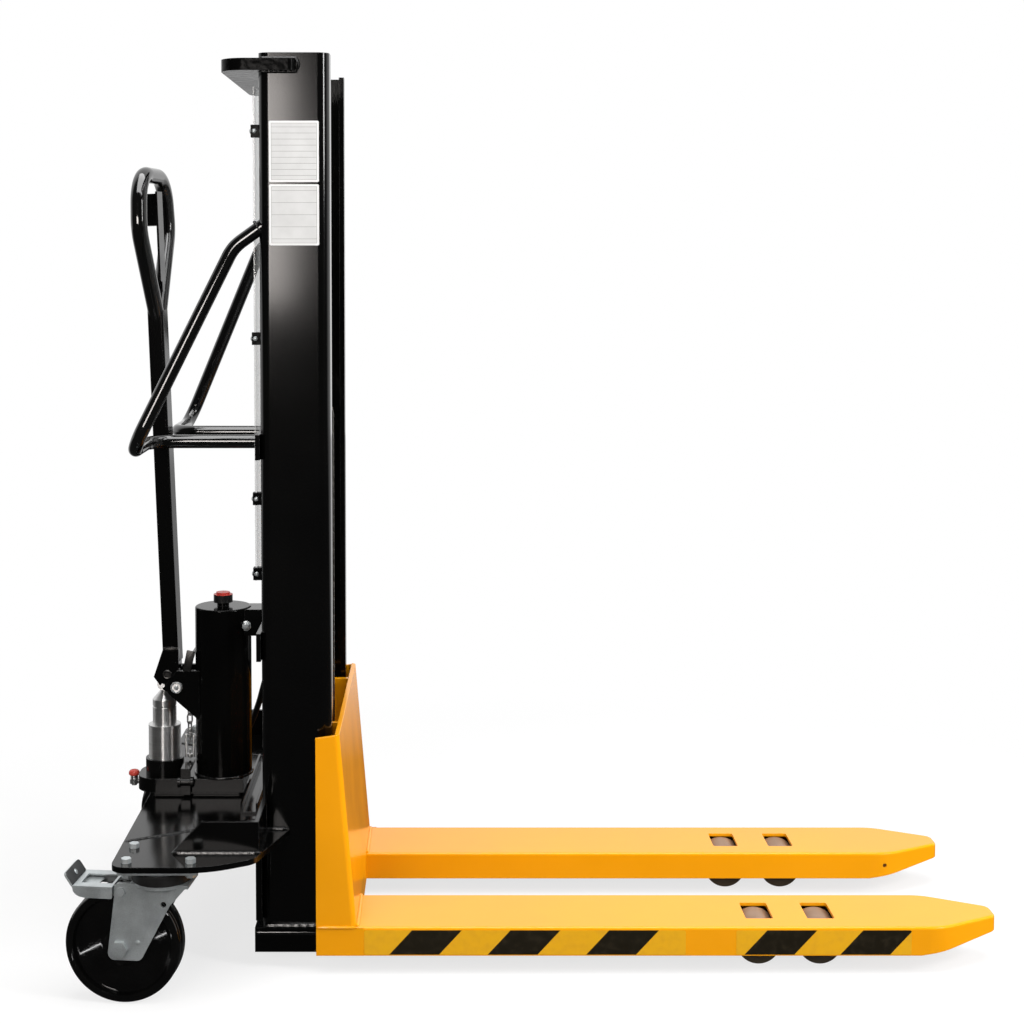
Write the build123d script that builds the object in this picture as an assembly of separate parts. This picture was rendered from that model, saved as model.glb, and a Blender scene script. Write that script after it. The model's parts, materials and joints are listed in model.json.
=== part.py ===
from build123d import *
import os
from math import cos, pi, radians, sin, sqrt, tan

# Pallet stacker with a hand pump: forks that straddle fixed roller legs, a two-channel mast,
# one lift cylinder with chains, a pump unit on a rear deck and two braked swivel castors.
# Millimetres, +X along the forks, +Z up, right-hand side at -Y.
# Places are worked out from the load face of the forks (X = 0), the centre plane (Y = 0) and
# the floor (Z = 0). The finished model is moved along X until its origin is the middle of
# its footprint.

# Clearances
RUN = 0.05              # radial clearance of a pin or shaft in its hole
EASE = 0.5              # gap between faces that slide past each other

# Forks
FORK_LENGTH = 1145.0    # load face to fork tip
FORK_WIDTH = 160.0
FORK_SPREAD = 544.0     # over the outer faces of both forks
FORK_TOP = 85.0         # lowered height above the floor
FORK_DEPTH = 51.0
FORK_SHEET = 6.0
FORK_BEND = 5.0         # outer radius of the folded edges
FORK_NOSE = 110.0       # length of the tapered nose
FORK_TIP = 46.0         # width of the blunt tip
FORK_TIP_ROUND = 20.0
FORK_SHOULDER_ROUND = 90.0
FORK_NOSE_RISE = 24.0   # how far the underside climbs at the tip
FORK_UNDER_LEAD = 38.0  # underside starts to climb this far behind the nose
FORK_DRAIN_D = 8.0      # drain hole in the inner wall, beside the nose
WINDOW_LENGTH = 49.0    # roller windows in the fork top
WINDOW_WIDTH = 76.0
WINDOW_ROUND = 4.0

# Load rollers and the legs that carry them
LOAD_ROLLER_D = 80.0
LOAD_ROLLER_W = 70.0
LOAD_ROLLER_REACH = 718.0   # load face to the rear roller's axle
LOAD_ROLLER_PITCH = 110.0
LOAD_ROLLER_ROUND = 4.0
LOAD_AXLE_D = 20.0
LEG_WIDTH = 102.0
LEG_TOP = 73.0
LEG_BOTTOM = 29.0
LEG_SIDE = 10.0
LEG_ROOF = 8.0
LEG_TOE = 52.0          # leg beyond the front axle
LEG_HEEL = 13.0         # leg behind the mast
LEG_SLOT_GAP = 6.0      # roller clearance in the leg's roof, at each end

# Carriage
CARRIAGE_TOP = 428.0
CARRIAGE_LEAN = 29.0    # setback of the plate's top edge
CARRIAGE_SHEET = 8.0    # load plate
CARRIAGE_FOLD = 10.0    # outer radius between load plate and side plates
SIDE_SHEET = 6.0
SIDE_LAP = 26.0         # how far a side plate reaches back beside the mast
SIDE_TOP_DROP = 6.0     # fall of a side plate's top edge towards the mast
SIDE_GAP = 23.0         # side plate to mast
MAST_GAP = 8.0          # load plate's top edge to mast
UPRIGHT_SHEET = 10.0
UPRIGHT_GAP = 22.0      # upright to the lips of the channel
UPRIGHT_TOP = 423.0
UPRIGHT_BOTTOM = 90.0
CROSSBAR_TOP = 305.0    # carriage crossbar that the chains pull on
CROSSBAR_HEIGHT = 20.0

# Mast
MAST_DEPTH = 124.0
MAST_FLANGE = 50.0
MAST_WEB = 8.0
MAST_FLANGE_WALL = 10.0
MAST_CORNER = 20.0      # outer corner radius of the channels
MAST_ROLLER_GAP = 1.0
MAST_ROLLER_W = 28.0
MAST_ROLLER_LOW = 140.0
MAST_ROLLER_HIGH = 371.0
MAST_AXLE_D = 25.0
AXLE_END = 3.0          # stub axle beyond its roller
TOP_PLATE_DROP = 11.0   # top plate below the mast's ends
TOP_PLATE_T = 21.0
TOP_PLATE_REACH = 66.0  # behind the mast
TOP_PLATE_LUG = 66.0    # lugs along the outer faces
TOP_PLATE_LUG_T = 15.0
TOP_PLATE_ROUND = 45.0
LUG_ROUND = 12.0
BAR_T = 8.0             # flat bars across the back of the mast
MID_BAR_HEIGHT = 45.0
MID_BAR_OFFSET = 6.0    # bar centre above the push bars' lower runs
LOW_PLATE_T = 11.0
LOW_PLATE_BOTTOM = 86.0
ANCHOR_DEPTH = 23.0     # shelf that holds the chains' fixed ends
ANCHOR_T = 20.0
ANCHOR_DROP = 6.0       # shelf below the deck
BEAM_BOTTOM = 30.0      # base beam between the legs
BEAM_SETBACK = 15.0     # base beam behind the mast's front

# Lift cylinder, chains and pulleys
LIFT = 1100.0           # fork travel
CYLINDER_D = 64.0
CYLINDER_WALL = 6.0
CYLINDER_DEAD = 257.0   # cylinder length beyond its stroke
GLAND_WALL = 3.0        # gland over the cylinder
GLAND_H = 25.0
ROD_D = 40.0
PISTON_H = 30.0
PISTON_LIFT = 20.0      # piston above the cylinder's foot
PULLEY_RISE = 55.0      # pulley axle above the gland
PULLEY_W = 18.0
PULLEY_RIM = 2.0
PULLEY_RIM_H = 6.0
PULLEY_AXLE_D = 20.0
YOKE_HALF = 18.0        # half width of the rod's head between the pulleys
YOKE_DEPTH = 44.0
YOKE_BELOW = 35.0
YOKE_ABOVE = 25.0
PULLEY_SIDE_GAP = 2.0
CHAIN_GAP = 5.0         # chain to gland
CHAIN_T = 10.0
HEADROOM = 58.5         # raised chain to mast top

# Rear deck
DECK_T = 10.0
DECK_WIDTH = 876.0
DECK_CORNER = 25.0
WING_TIP = 50.0         # deck along the mast's outer face
WING_SHOULDER_IN = 43.0
WING_SHOULDER_X = 4.0
WING_START = 71.0       # straight side ends this far behind the mast
WING_START_ROUND = 150.0
WING_SHOULDER_ROUND = 40.0
SEAM_REAR_IN = 130.0    # weld seam between deck and wing, in from the deck's side
SEAM_FRONT_IN = 56.0    # and in from the mast's outer face
GUSSET_T = 8.0
GUSSET_H = 55.0
GUSSET_IN = 68.0        # gusset's outer face, in from the deck's side
GUSSET_LENGTH = 150.0
GUSSET_SLOPE = 53.0
GUSSET_LEAD = 9.0       # gusset reaches this far past the mast's rear
STIFFENER_W = 32.0
STIFFENER_H = 20.0
STIFFENER_WALL = 4.0
STIFFENER_HALF = 158.0
STIFFENER_SETBACK = 16.0
STIFFENER_GAP = 7.0

# Castors
WHEEL_D = 200.0
WHEEL_W = 50.0
WHEEL_ROUND = 6.0
WHEEL_DISH = 9.0        # depth of the recess in each side
WHEEL_RIM = 16.0        # tread depth left outside the recess
HUB_D = 64.0
HUB_GAP = 1.0           # hub to fork leg
WHEEL_TRAIL = 65.0      # swivel axis to wheel axle
CASTOR_TURN = 6.0       # how far each castor stands turned at rest
CASTOR_INSET_X = 78.0   # swivel axis in from the deck's rear edge
CASTOR_INSET_Y = 62.0   # swivel axis in from the deck's side
CASTOR_SHEET = 5.0
CASTOR_LEG_GAP = 5.0    # tyre to leg
CROWN_GAP = 6.0         # wheel to crown
CROWN_T = 6.0
CUP_D = 98.0
CUP_WALL = 4.0
CUP_H = 18.0
RACE_GAP = 3.0
RACE_SPACE = 23.0       # crown to top plate
RACE_T = 9.0
CASTOR_PLATE_T = 6.0
CASTOR_PLATE_L = 134.0
CASTOR_PLATE_W = 110.0
BOLT_PITCH_X = 108.0
BOLT_PITCH_Y = 76.0
BOLT_D = 10.0
BOLT_HOLE_GAP = 0.2
BOLT_HEAD_D = 18.0
BOLT_HEAD_H = 8.0
KINGPIN_D = 20.0
KINGPIN_HEAD_D = 32.0
KINGPIN_HEAD_H = 8.0
CASTOR_AXLE_D = 20.0
CASTOR_NUT_D = 30.0
CASTOR_NUT_H = 8.0
CASTOR_LEG_FOOT = 20.0  # leg below the axle
CASTOR_LEG_HEEL = 22.0  # leg behind the axle
CASTOR_LEG_TOE = 36.0   # leg ahead of the axle
CASTOR_LEG_RISE = 76.0  # leg's front corner above the axle
CASTOR_LEG_ROUND = 12.0
CASTOR_EYE_D = 10.0
CASTOR_EYE_X = 11.0     # small hole in the legs, ahead of the swivel axis
CASTOR_EYE_DROP = 28.0  # and below the crown

# Brake pedals
PEDAL_SHEET = 3.0
PEDAL_WIDTH = 79.0
PEDAL_LENGTH = 83.0     # pivot to the rear edge of the pedal
PEDAL_DEPTH = 20.0
PEDAL_CLEAR = 3.0       # wheel to the underside of the pedal
PEDAL_LIP = 16.0        # height of the upturned toe lip
PEDAL_LIP_LEAN = 15.0
PEDAL_PIVOT_X = 3.0     # pivot ahead of the wheel axle
PEDAL_PIN_D = 10.0
PEDAL_PIN_HEAD = 16.0
PEDAL_EYE = 9.0         # radius of the pedal's ears
PEDAL_NECK = 14.0       # pivot to the wide part of the pedal
PEDAL_CUT_L = 36.0
PEDAL_CUT_W = 50.0
SHOE_LENGTH = 17.0
SHOE_SETBACK = 43.0     # wheel axle to the shoe's front edge
SHOE_T = 6.0
SHOE_W = 40.0

# Push bars
BAR_D = 25.0
BAR_TUBE_WALL = 2.5
BAR_HIGH = 1315.0       # upper end at the back of the mast
BAR_LOW = 925.0
BAR_OUT = 220.0         # right bar's reach behind the mast
BAR_OUT_LEFT = 199.0    # the left bar is bent a little shorter
BAR_FLARE = 45.0        # lower bend stands this far outside the upper end
BAR_STUB = 46.0         # upper bend behind the mast
BAR_STUB_DROP = 33.0    # upper bend below the upper end
BAR_EDGE = 18.0         # upper end in from the mast's outer face
BAR_INNER_Y = 85.0
BAR_BENDS = (70.0, 45.0, 45.0)

# Guard screen
SCREEN_T = 3.0
SCREEN_BOTTOM = 690.0
SCREEN_DROP = 56.0      # screen's top below the mast's top
SCREEN_EDGE = 31.0      # in from the mast's outer face
SCREEN_STANDOFF = 1.0   # screen behind the flat bars
SCREEN_HOLE_GAP = 2.5
CLIP_HEIGHT = 22.0
CLIP_LAP = 9.0
CLIP_OUT = 7.0
CLIP_BACK = 3.0
CLIP_OVER_TANK_BAR = 91.0   # gaps from the four pairs of clips to the flat bars and the screen's top
CLIP_UNDER_MID_BAR = 60.5
CLIP_OVER_MID_BAR = 156.5
CLIP_UNDER_EDGE = 67.0

# Pump unit
BLOCK_W = 100.0
BLOCK_H = 26.0
BLOCK_FOOT = 6.0
BLOCK_FOOT_IN = 9.0
BLOCK_ROUND = 38.0
BLOCK_OVERHANG = 25.0   # block past the deck's rear edge
BLOCK_NOSE = 42.0       # tank axis to the block's front
BARREL_INSET = 48.0     # block's rear to the barrel's axis
BARREL_D = 61.0
BARREL_H = 93.0
BARREL_FLOOR = 17.0
COLLAR_D = 72.0
COLLAR_H = 29.0
PLUNGER_D = 45.0
PLUNGER_RISE = 65.0     # plunger above the barrel
PLUNGER_CONE = 17.0
PLUNGER_TIP = 15.0
PLUNGER_SUNK = 36.0     # plunger inside the barrel
PLUNGER_GROOVE = 1.5
PLUNGER_GROOVE_DROP = 13.0
TANK_D = 106.0
TANK_H = 320.0
TANK_WALL = 4.0
TANK_RIM = 3.0
NECK_D = 23.0
NECK_H = 18.0
CAP_D = 36.0
CAP_H = 15.0
CAP_LIFT = 7.0          # cap's skirt above the tank
CAP_RING_D = 26.0
CAP_RING_H = 4.0
BRACKET_H = 50.0
BRACKET_HALF = 30.0
BRACKET_DROP = 2.0
VALVE_D = 16.0
VALVE_DROP = 7.0        # valve's seat below the block's top
VALVE_CAP_D = 21.0
VALVE_CAP_H = 13.0
RELEASE_GAP = 24.0      # collar to tank, where the release chain runs
RELEASE_W = 18.0
RELEASE_T = 6.0
RELEASE_TAIL = 24.0     # lever below its pin
RELEASE_HEAD = 26.0     # lever above its pin
RELEASE_REACH = 65.0    # lever from its pin to past the chain
RELEASE_STANDOFF = 6.0  # lever's face to the block
RELEASE_PIN_DROP = 3.0  # pin below the block's top
RELEASE_PIN_D = 8.0
RELEASE_BOSS_D = 14.0
RELEASE_LUG = 5.0
RELEASE_LUG_D = 20.0
RELEASE_CHAIN_D = 7.0
RELEASE_CHAIN_GAP = 0.8     # chain's foot above the lever's arm
RELEASE_CHAIN_TOP = 13.0    # chain's top below the handle pivot
HOSE_D = 12.0
HOSE_FITTING_D = 18.0
HOSE_FITTING_L = 16.0
HOSE_END_RISE = 249.0   # fitting on the lift cylinder above the deck
HOSE_POINTS = (
    (23.0, 92.0, 61.0),
    (54.0, 94.0, 129.0),
    (72.0, 68.0, 194.0),
)                       # from the tank's axis at the deck's top

# Pump handle
LEVER_ARM = 28.0        # plunger axis to handle pivot
PUSH_ROLLER_D = 24.0
PUSH_ROLLER_W = 18.0
PUSH_PIN_D = 8.0
PUSH_GAP = 0.3
PIVOT_D = 16.0
PIVOT_HEAD_D = 22.0
PIVOT_HEAD_H = 4.0
EAR_ROUND = 20.0        # bracket ears and yoke round the pivot
EAR_T = 8.0
EAR_GAP = 4.0           # yoke to ear
EAR_RISE = 31.0         # ear above the pivot
EAR_FALL = 101.0        # ear below the pivot at the tank
STOP_RISE = 63.0        # top of the handle stop above the pivot
STOP_LEAN = 14.0
STOP_T = 5.0
YOKE_WIDTH = 40.0
YOKE_SLOT = 20.0
YOKE_TOP = 69.0
YOKE_SLOT_TOP = 32.0
HANDLE_X = 30.0         # shaft section
HANDLE_Y = 40.0
HANDLE_WALL = 3.0
HANDLE_ROUND = 4.0
HANDLE_OFFSET = 9.5     # shaft axis behind the pivot
HANDLE_LEAN = 2.05      # degrees to the rear
HANDLE_TWIST = 5.5      # degrees, shaft in its yoke
HANDLE_LENGTH = 712.0   # pivot to the shaft's top
SHAFT_SUNK = 24.0       # shaft inside the yoke
LOOP_D = 30.0
LOOP_HALF = 104.0       # half width at the tube's centre line
LOOP_FOOT = 22.0        # loop's apex below the shaft's top
LOOP_SHOULDER = 150.0   # widest place above the shaft's top
LOOP_TOP = 252.0        # top run above the shaft's top
LOOP_CROWN = 14.0       # taper of the loop towards its top
LOOP_SIDE_BEND = 70.0
LOOP_TOP_BEND = 62.0
TRIGGER_PIN_D = 6.0
TRIGGER_PIN_RISE = 38.0
TRIGGER_PIN_HALF = 24.0
TRIGGER_HUB_D = 14.0
TRIGGER_STEM_HALF = 8.0
TRIGGER_HALF = 18.0
TRIGGER_T = 4.0
TRIGGER_FACE = 14.0     # front of the trigger plate ahead of the shaft's axis
TRIGGER_NECK = 16.0     # pin to the wide part of the trigger
TRIGGER_TOP = 184.0     # pin to the trigger's top
TRIGGER_PAD = 60.0
TRIGGER_PAD_DROP = 4.0
TRIGGER_PAD_BACK = 12.0

# Places that follow from the sizes
fork_outer = FORK_SPREAD / 2
fork_inner = fork_outer - FORK_WIDTH
fork_mid = (fork_outer + fork_inner) / 2
fork_bottom = FORK_TOP - FORK_DEPTH
load_roller_xs = (LOAD_ROLLER_REACH, LOAD_ROLLER_REACH + LOAD_ROLLER_PITCH)
load_axle_z = LOAD_ROLLER_D / 2
leg_inner = fork_mid - LEG_WIDTH / 2
leg_outer = fork_mid + LEG_WIDTH / 2

mast_front = -(CARRIAGE_LEAN + CARRIAGE_SHEET + MAST_GAP)
mast_rear = mast_front - MAST_DEPTH
mast_mid = (mast_front + mast_rear) / 2
mast_outer = fork_outer - SIDE_SHEET - SIDE_GAP
mast_lip = mast_outer - MAST_FLANGE
upright_outer = mast_lip - UPRIGHT_GAP
upright_inner = upright_outer - UPRIGHT_SHEET
mast_roller_r = MAST_DEPTH / 2 - MAST_FLANGE_WALL - MAST_ROLLER_GAP
mast_roller_mid = (mast_lip + mast_outer - MAST_WEB) / 2

gland_r = CYLINDER_D / 2 + GLAND_WALL
pulley_r = gland_r + CHAIN_GAP
chain_inner = pulley_r + EASE
chain_outer = chain_inner + CHAIN_T
cylinder_top = LEG_TOP + LIFT / 2 + CYLINDER_DEAD
gland_top = cylinder_top + GLAND_H
pulley_z = gland_top + PULLEY_RISE
mast_top = pulley_z + LIFT / 2 + chain_outer + HEADROOM
pulley_inner = YOKE_HALF + PULLEY_SIDE_GAP
pulley_outer = pulley_inner + PULLEY_W
chain_y = (pulley_inner + PULLEY_RIM + EASE, pulley_outer - PULLEY_RIM - EASE)

crown_bottom = WHEEL_D + CROWN_GAP
crown_top = crown_bottom + CROWN_T
castor_top = crown_top + RACE_SPACE + CASTOR_PLATE_T
deck_bottom = castor_top
deck_top = deck_bottom + DECK_T
anchor_top = deck_bottom - ANCHOR_DROP

stiffener_front = mast_rear - STIFFENER_SETBACK
stiffener_rear = stiffener_front - STIFFENER_W
block_front = stiffener_rear - STIFFENER_GAP
tank_x = block_front - BLOCK_NOSE
barrel_x = tank_x - TANK_D / 2 - RELEASE_GAP - COLLAR_D / 2
block_rear = barrel_x - BARREL_INSET
deck_rear = block_rear + BLOCK_OVERHANG
deck_side = DECK_WIDTH / 2
block_bottom = deck_top + BLOCK_FOOT
block_top = block_bottom + BLOCK_H
barrel_top = block_top + BARREL_H
plunger_top = barrel_top + PLUNGER_RISE
tank_top = block_top + TANK_H
pivot_x = barrel_x + LEVER_ARM
pivot_z = plunger_top + PUSH_GAP + PUSH_ROLLER_D / 2
release_x = tank_x - TANK_D / 2 - RELEASE_GAP / 2
release_pin_y = -(BLOCK_W / 2 + RELEASE_STANDOFF + RELEASE_T / 2)
release_pin_z = block_top - RELEASE_PIN_DROP
castor_x = deck_rear + CASTOR_INSET_X
castor_y = deck_side - CASTOR_INSET_Y
handle_place = Pos(pivot_x, 0, pivot_z) * Rot(0, -HANDLE_LEAN, 0)
shaft_place = handle_place * Pos(-HANDLE_OFFSET, 0, 0) * Rot(0, 0, -HANDLE_TWIST)


def block(x, y, z):
    """Box from the low and high ends of each axis."""
    spans = [sorted(pair) for pair in (x, y, z)]
    centre = [(low + high) / 2 for low, high in spans]
    return Pos(*centre) * Box(*[high - low for low, high in spans])


def bar(radius, start, end):
    """Straight round bar from one point to another."""
    run = Vector(*end) - Vector(*start)
    place = Plane(origin=start, z_dir=run)
    return place * Cylinder(radius, run.length, align=(Align.CENTER, Align.CENTER, Align.MIN))


def cross_bar(radius, x, z, low, high):
    """Round bar along Y."""
    return bar(radius, (x, low, z), (x, high, z))


def outline(points, rounds):
    """Flat face through points, with one corner radius for each."""
    return make_face(FilletPolyline(*points, radius=rounds, close=True))


def plate_y(points, low, high, rounds=None):
    """Plate in the X-Z plane, from low to high along Y."""
    corners = [(x, low, z) for x, z in points]
    face = outline(corners, rounds or [0] * len(points))
    return extrude(face, amount=high - low, dir=(0, 1, 0))


def plate_z(points, low, high, rounds=None):
    """Plate in the X-Y plane, from low to high along Z."""
    corners = [(x, y, low) for x, y in points]
    face = outline(corners, rounds or [0] * len(points))
    return extrude(face, amount=high - low, dir=(0, 0, 1))


def tube(path, radius, wall):
    """Round tube along a path, solid where the wall is zero."""
    section = Circle(radius) - Circle(radius - wall) if wall else Circle(radius)
    return sweep(Plane(origin=path @ 0, z_dir=path % 0) * section, path=path)


def flip(shape):
    """The same shape on the other side of the centre plane."""
    return mirror(shape, about=Plane.XZ)


def fork():
    """Left fork: folded sheet, open below and at the heel, with a closed tapered nose."""
    shoulder = FORK_LENGTH - FORK_NOSE
    tip = FORK_TIP / 2
    plan = [
        (0, fork_inner),
        (0, fork_outer),
        (shoulder, fork_outer),
        (FORK_LENGTH, fork_mid + tip),
        (FORK_LENGTH, fork_mid - tip),
        (shoulder, fork_inner),
    ]
    rounds = [0, 0, FORK_SHOULDER_ROUND, FORK_TIP_ROUND, FORK_TIP_ROUND, FORK_SHOULDER_ROUND]
    body = plate_z(plan, fork_bottom, FORK_TOP, rounds)
    rim = body.faces().sort_by(Axis.Z)[-1].edges()
    heel = rim.sort_by(Axis.X)[0]
    body = fillet([edge for edge in rim if edge != heel], FORK_BEND)
    climb = shoulder - FORK_UNDER_LEAD
    slope = [(climb, fork_bottom - 1), (FORK_LENGTH + 1, fork_bottom - 1)]
    slope += [(FORK_LENGTH + 1, fork_bottom + FORK_NOSE_RISE), (climb, fork_bottom)]
    body -= plate_y(slope, fork_inner - 1, fork_outer + 1)
    inside = (fork_inner + FORK_SHEET, fork_outer - FORK_SHEET)
    body -= block((-1, shoulder), inside, (fork_bottom - 1, FORK_TOP - FORK_SHEET))
    for x in load_roller_xs:
        half_l = WINDOW_LENGTH / 2
        half_w = WINDOW_WIDTH / 2
        corners = [(x - half_l, fork_mid - half_w), (x + half_l, fork_mid - half_w)]
        corners += [(x + half_l, fork_mid + half_w), (x - half_l, fork_mid + half_w)]
        body -= plate_z(corners, fork_bottom, FORK_TOP + 1, [WINDOW_ROUND] * len(corners))
    drain_x = shoulder - FORK_DRAIN_D
    drain_z = (fork_bottom + FORK_TOP) / 2
    return body - cross_bar(FORK_DRAIN_D / 2, drain_x, drain_z, fork_inner - 1, fork_mid)


def load_roller(x):
    """Left load roller on its axle."""
    low = fork_mid - LOAD_ROLLER_W / 2
    high = fork_mid + LOAD_ROLLER_W / 2
    body = cross_bar(LOAD_ROLLER_D / 2, x, load_axle_z, low, high)
    body = fillet(body.edges().filter_by(GeomType.CIRCLE), LOAD_ROLLER_ROUND)
    return body - cross_bar(LOAD_AXLE_D / 2 + RUN, x, load_axle_z, low - 1, high + 1)


def support_leg():
    """Left leg under the mast and inside the fork: inverted channel with roller slots."""
    heel = mast_rear - LEG_HEEL
    toe = load_roller_xs[-1] + LEG_TOE
    body = block((heel, toe), (leg_inner, leg_outer), (LEG_BOTTOM, LEG_TOP))
    inside = (leg_inner + LEG_SIDE, leg_outer - LEG_SIDE)
    body -= block((heel + LEG_SIDE, toe + 1), inside, (LEG_BOTTOM - 1, LEG_TOP - LEG_ROOF))
    for x in load_roller_xs:
        reach = LOAD_ROLLER_D / 2 - LEG_SLOT_GAP
        body -= block((x - reach, x + reach), inside, (LEG_BOTTOM, LEG_TOP + 1))
        hole = LOAD_AXLE_D / 2 + RUN
        body -= cross_bar(hole, x, load_axle_z, leg_inner - 1, leg_outer + 1)
    return body


def load_axles():
    """Axles of the four load rollers."""
    left = [cross_bar(LOAD_AXLE_D / 2, x, load_axle_z, leg_inner, leg_outer) for x in load_roller_xs]
    return left + [flip(axle) for axle in left]


def plate_lean(z):
    """X of the load plate's front face at a height."""
    share = max(0.0, z - FORK_TOP) / (CARRIAGE_TOP - FORK_TOP)
    return -CARRIAGE_LEAN * share


def carriage_plate():
    """Leaning load plate with side plates folded back beside the mast."""
    front = [(0, fork_bottom), (0, FORK_TOP), (-CARRIAGE_LEAN, CARRIAGE_TOP)]
    back = [(x - CARRIAGE_SHEET, z) for x, z in reversed(front)]
    body = plate_y(front + back, -fork_outer, fork_outer)
    rear = mast_front - SIDE_LAP
    side = front + [(rear, CARRIAGE_TOP - SIDE_TOP_DROP), (rear, fork_bottom)]
    left = plate_y(side, fork_outer - SIDE_SHEET, fork_outer)
    body = body + left + flip(left)
    folds = [e for e in body.edges() if abs(abs(e.center().Y) - fork_outer) < EASE]
    folds = [e for e in folds if e.center().X > -CARRIAGE_LEAN and e.length > FORK_TOP]
    body = fillet(folds, CARRIAGE_FOLD)
    tunnel = (fork_inner + FORK_SHEET, fork_outer - FORK_SHEET)
    passage = block((rear - 1, 1), tunnel, (fork_bottom - 1, FORK_TOP - FORK_SHEET))
    return body - passage - flip(passage)


def carriage_upright():
    """Left upright behind the load plate, and the two stub axles for its mast rollers."""
    rear = mast_mid - mast_roller_r
    back = [(plate_lean(z) - CARRIAGE_SHEET, z) for z in (UPRIGHT_BOTTOM, UPRIGHT_TOP)]
    sheet = plate_y(back + [(rear, UPRIGHT_TOP), (rear, UPRIGHT_BOTTOM)], upright_inner, upright_outer)
    end = mast_roller_mid + MAST_ROLLER_W / 2 + AXLE_END
    levels = (MAST_ROLLER_LOW, MAST_ROLLER_HIGH)
    return [sheet] + [cross_bar(MAST_AXLE_D / 2, mast_mid, z, upright_outer, end) for z in levels]


def carriage_crossbar():
    """Bar between the uprights that the lift chains pull on."""
    low = CROSSBAR_TOP - CROSSBAR_HEIGHT
    rear = mast_mid + chain_inner - CHAIN_T / 4
    back = [(plate_lean(z) - CARRIAGE_SHEET, z) for z in (low, CROSSBAR_TOP)]
    return plate_y(back + [(rear, CROSSBAR_TOP), (rear, low)], -upright_inner, upright_inner)


def mast_rollers(z):
    """Pair of mast rollers at one height."""
    low = mast_roller_mid - MAST_ROLLER_W / 2
    high = mast_roller_mid + MAST_ROLLER_W / 2
    left = cross_bar(mast_roller_r, mast_mid, z, low, high)
    left -= cross_bar(MAST_AXLE_D / 2 + RUN, mast_mid, z, low - 1, high + 1)
    return [left, flip(left)]


def mast_outside():
    """Outer form of the left mast channel."""
    plan = [(mast_rear, mast_lip), (mast_rear, mast_outer), (mast_front, mast_outer)]
    plan += [(mast_front, mast_lip)]
    return plate_z(plan, LEG_TOP, mast_top, [0, MAST_CORNER, MAST_CORNER, 0])


def mast_channel():
    """Left mast channel, open towards the middle."""
    gap = (mast_rear + MAST_FLANGE_WALL, mast_front - MAST_FLANGE_WALL)
    hollow = block(gap, (mast_lip - 1, mast_outer - MAST_WEB), (LEG_TOP - 1, mast_top + 1))
    return mast_outside() - hollow


def mast_top_plate():
    """Plate behind the mast's top, with lugs along both outer faces."""
    high = mast_top - TOP_PLATE_DROP
    low = high - TOP_PLATE_T
    reach = mast_outer + TOP_PLATE_LUG_T
    rear = mast_rear - TOP_PLATE_REACH
    plan = [(mast_rear, -reach), (rear, -reach), (rear, reach), (mast_rear, reach)]
    body = plate_z(plan, low, high, [0, TOP_PLATE_ROUND, TOP_PLATE_ROUND, 0])
    front = mast_rear + TOP_PLATE_LUG
    lug = [(mast_rear, mast_outer), (mast_rear, reach), (front, reach), (front, mast_outer)]
    lug = plate_z(lug, low, high, [0, 0, LUG_ROUND, 0])
    return body + lug + flip(lug)


def crossbar_spans():
    """Heights of the two flat bars: the middle one at the push bars, then the one at the tank."""
    middle = BAR_LOW + MID_BAR_OFFSET
    half = MID_BAR_HEIGHT / 2
    bracket_top = tank_top - BRACKET_DROP
    return [(middle - half, middle + half), (bracket_top - BRACKET_H, bracket_top)]


def mast_crossbars():
    """Flat bars across the back of the mast: one for the push bars, one for the tank."""
    spans = crossbar_spans()
    return [block((mast_rear - BAR_T, mast_rear), (-mast_outer, mast_outer), span) for span in spans]


def mast_low_plate():
    """Plate across the mast's foot, with the shelf that anchors the chains."""
    body = block((mast_rear - LOW_PLATE_T, mast_rear), (-mast_outer, mast_outer), (LOW_PLATE_BOTTOM, deck_bottom))
    half = pulley_outer + PULLEY_RIM
    shelf = (anchor_top - ANCHOR_T, anchor_top)
    return body + block((mast_rear, mast_rear + ANCHOR_DEPTH), (-half, half), shelf)


def mast_base_beam():
    """Beam between the legs that the lift cylinder stands on."""
    span = (mast_rear, mast_front - BEAM_SETBACK)
    return block(span, (-leg_inner, leg_inner), (BEAM_BOTTOM, LEG_TOP))


def lift_cylinder():
    """Cylinder tube with its closed foot, and the gland that guides the rod."""
    foot = (mast_mid, 0, LEG_TOP)
    top = (mast_mid, 0, cylinder_top)
    body = bar(CYLINDER_D / 2, foot, top)
    bore = CYLINDER_D / 2 - CYLINDER_WALL
    body -= bar(bore, (mast_mid, 0, LEG_TOP + CYLINDER_WALL), (mast_mid, 0, cylinder_top + 1))
    gland = bar(gland_r, top, (mast_mid, 0, gland_top))
    gland -= bar(ROD_D / 2 + RUN, (mast_mid, 0, cylinder_top - 1), (mast_mid, 0, gland_top + 1))
    return [body, gland]


def piston_rod():
    """Rod with its piston, and the head and axle that carry the chain pulleys."""
    foot = LEG_TOP + CYLINDER_WALL + PISTON_LIFT
    head = (pulley_z - YOKE_BELOW, pulley_z + YOKE_ABOVE)
    body = bar(ROD_D / 2, (mast_mid, 0, foot), (mast_mid, 0, head[0] + 1))
    piston = CYLINDER_D / 2 - CYLINDER_WALL - RUN
    body += bar(piston, (mast_mid, 0, foot), (mast_mid, 0, foot + PISTON_H))
    half = YOKE_DEPTH / 2
    body += block((mast_mid - half, mast_mid + half), (-YOKE_HALF, YOKE_HALF), head)
    end = pulley_outer + AXLE_END
    return body + cross_bar(PULLEY_AXLE_D / 2, mast_mid, pulley_z, -end, end)


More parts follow.
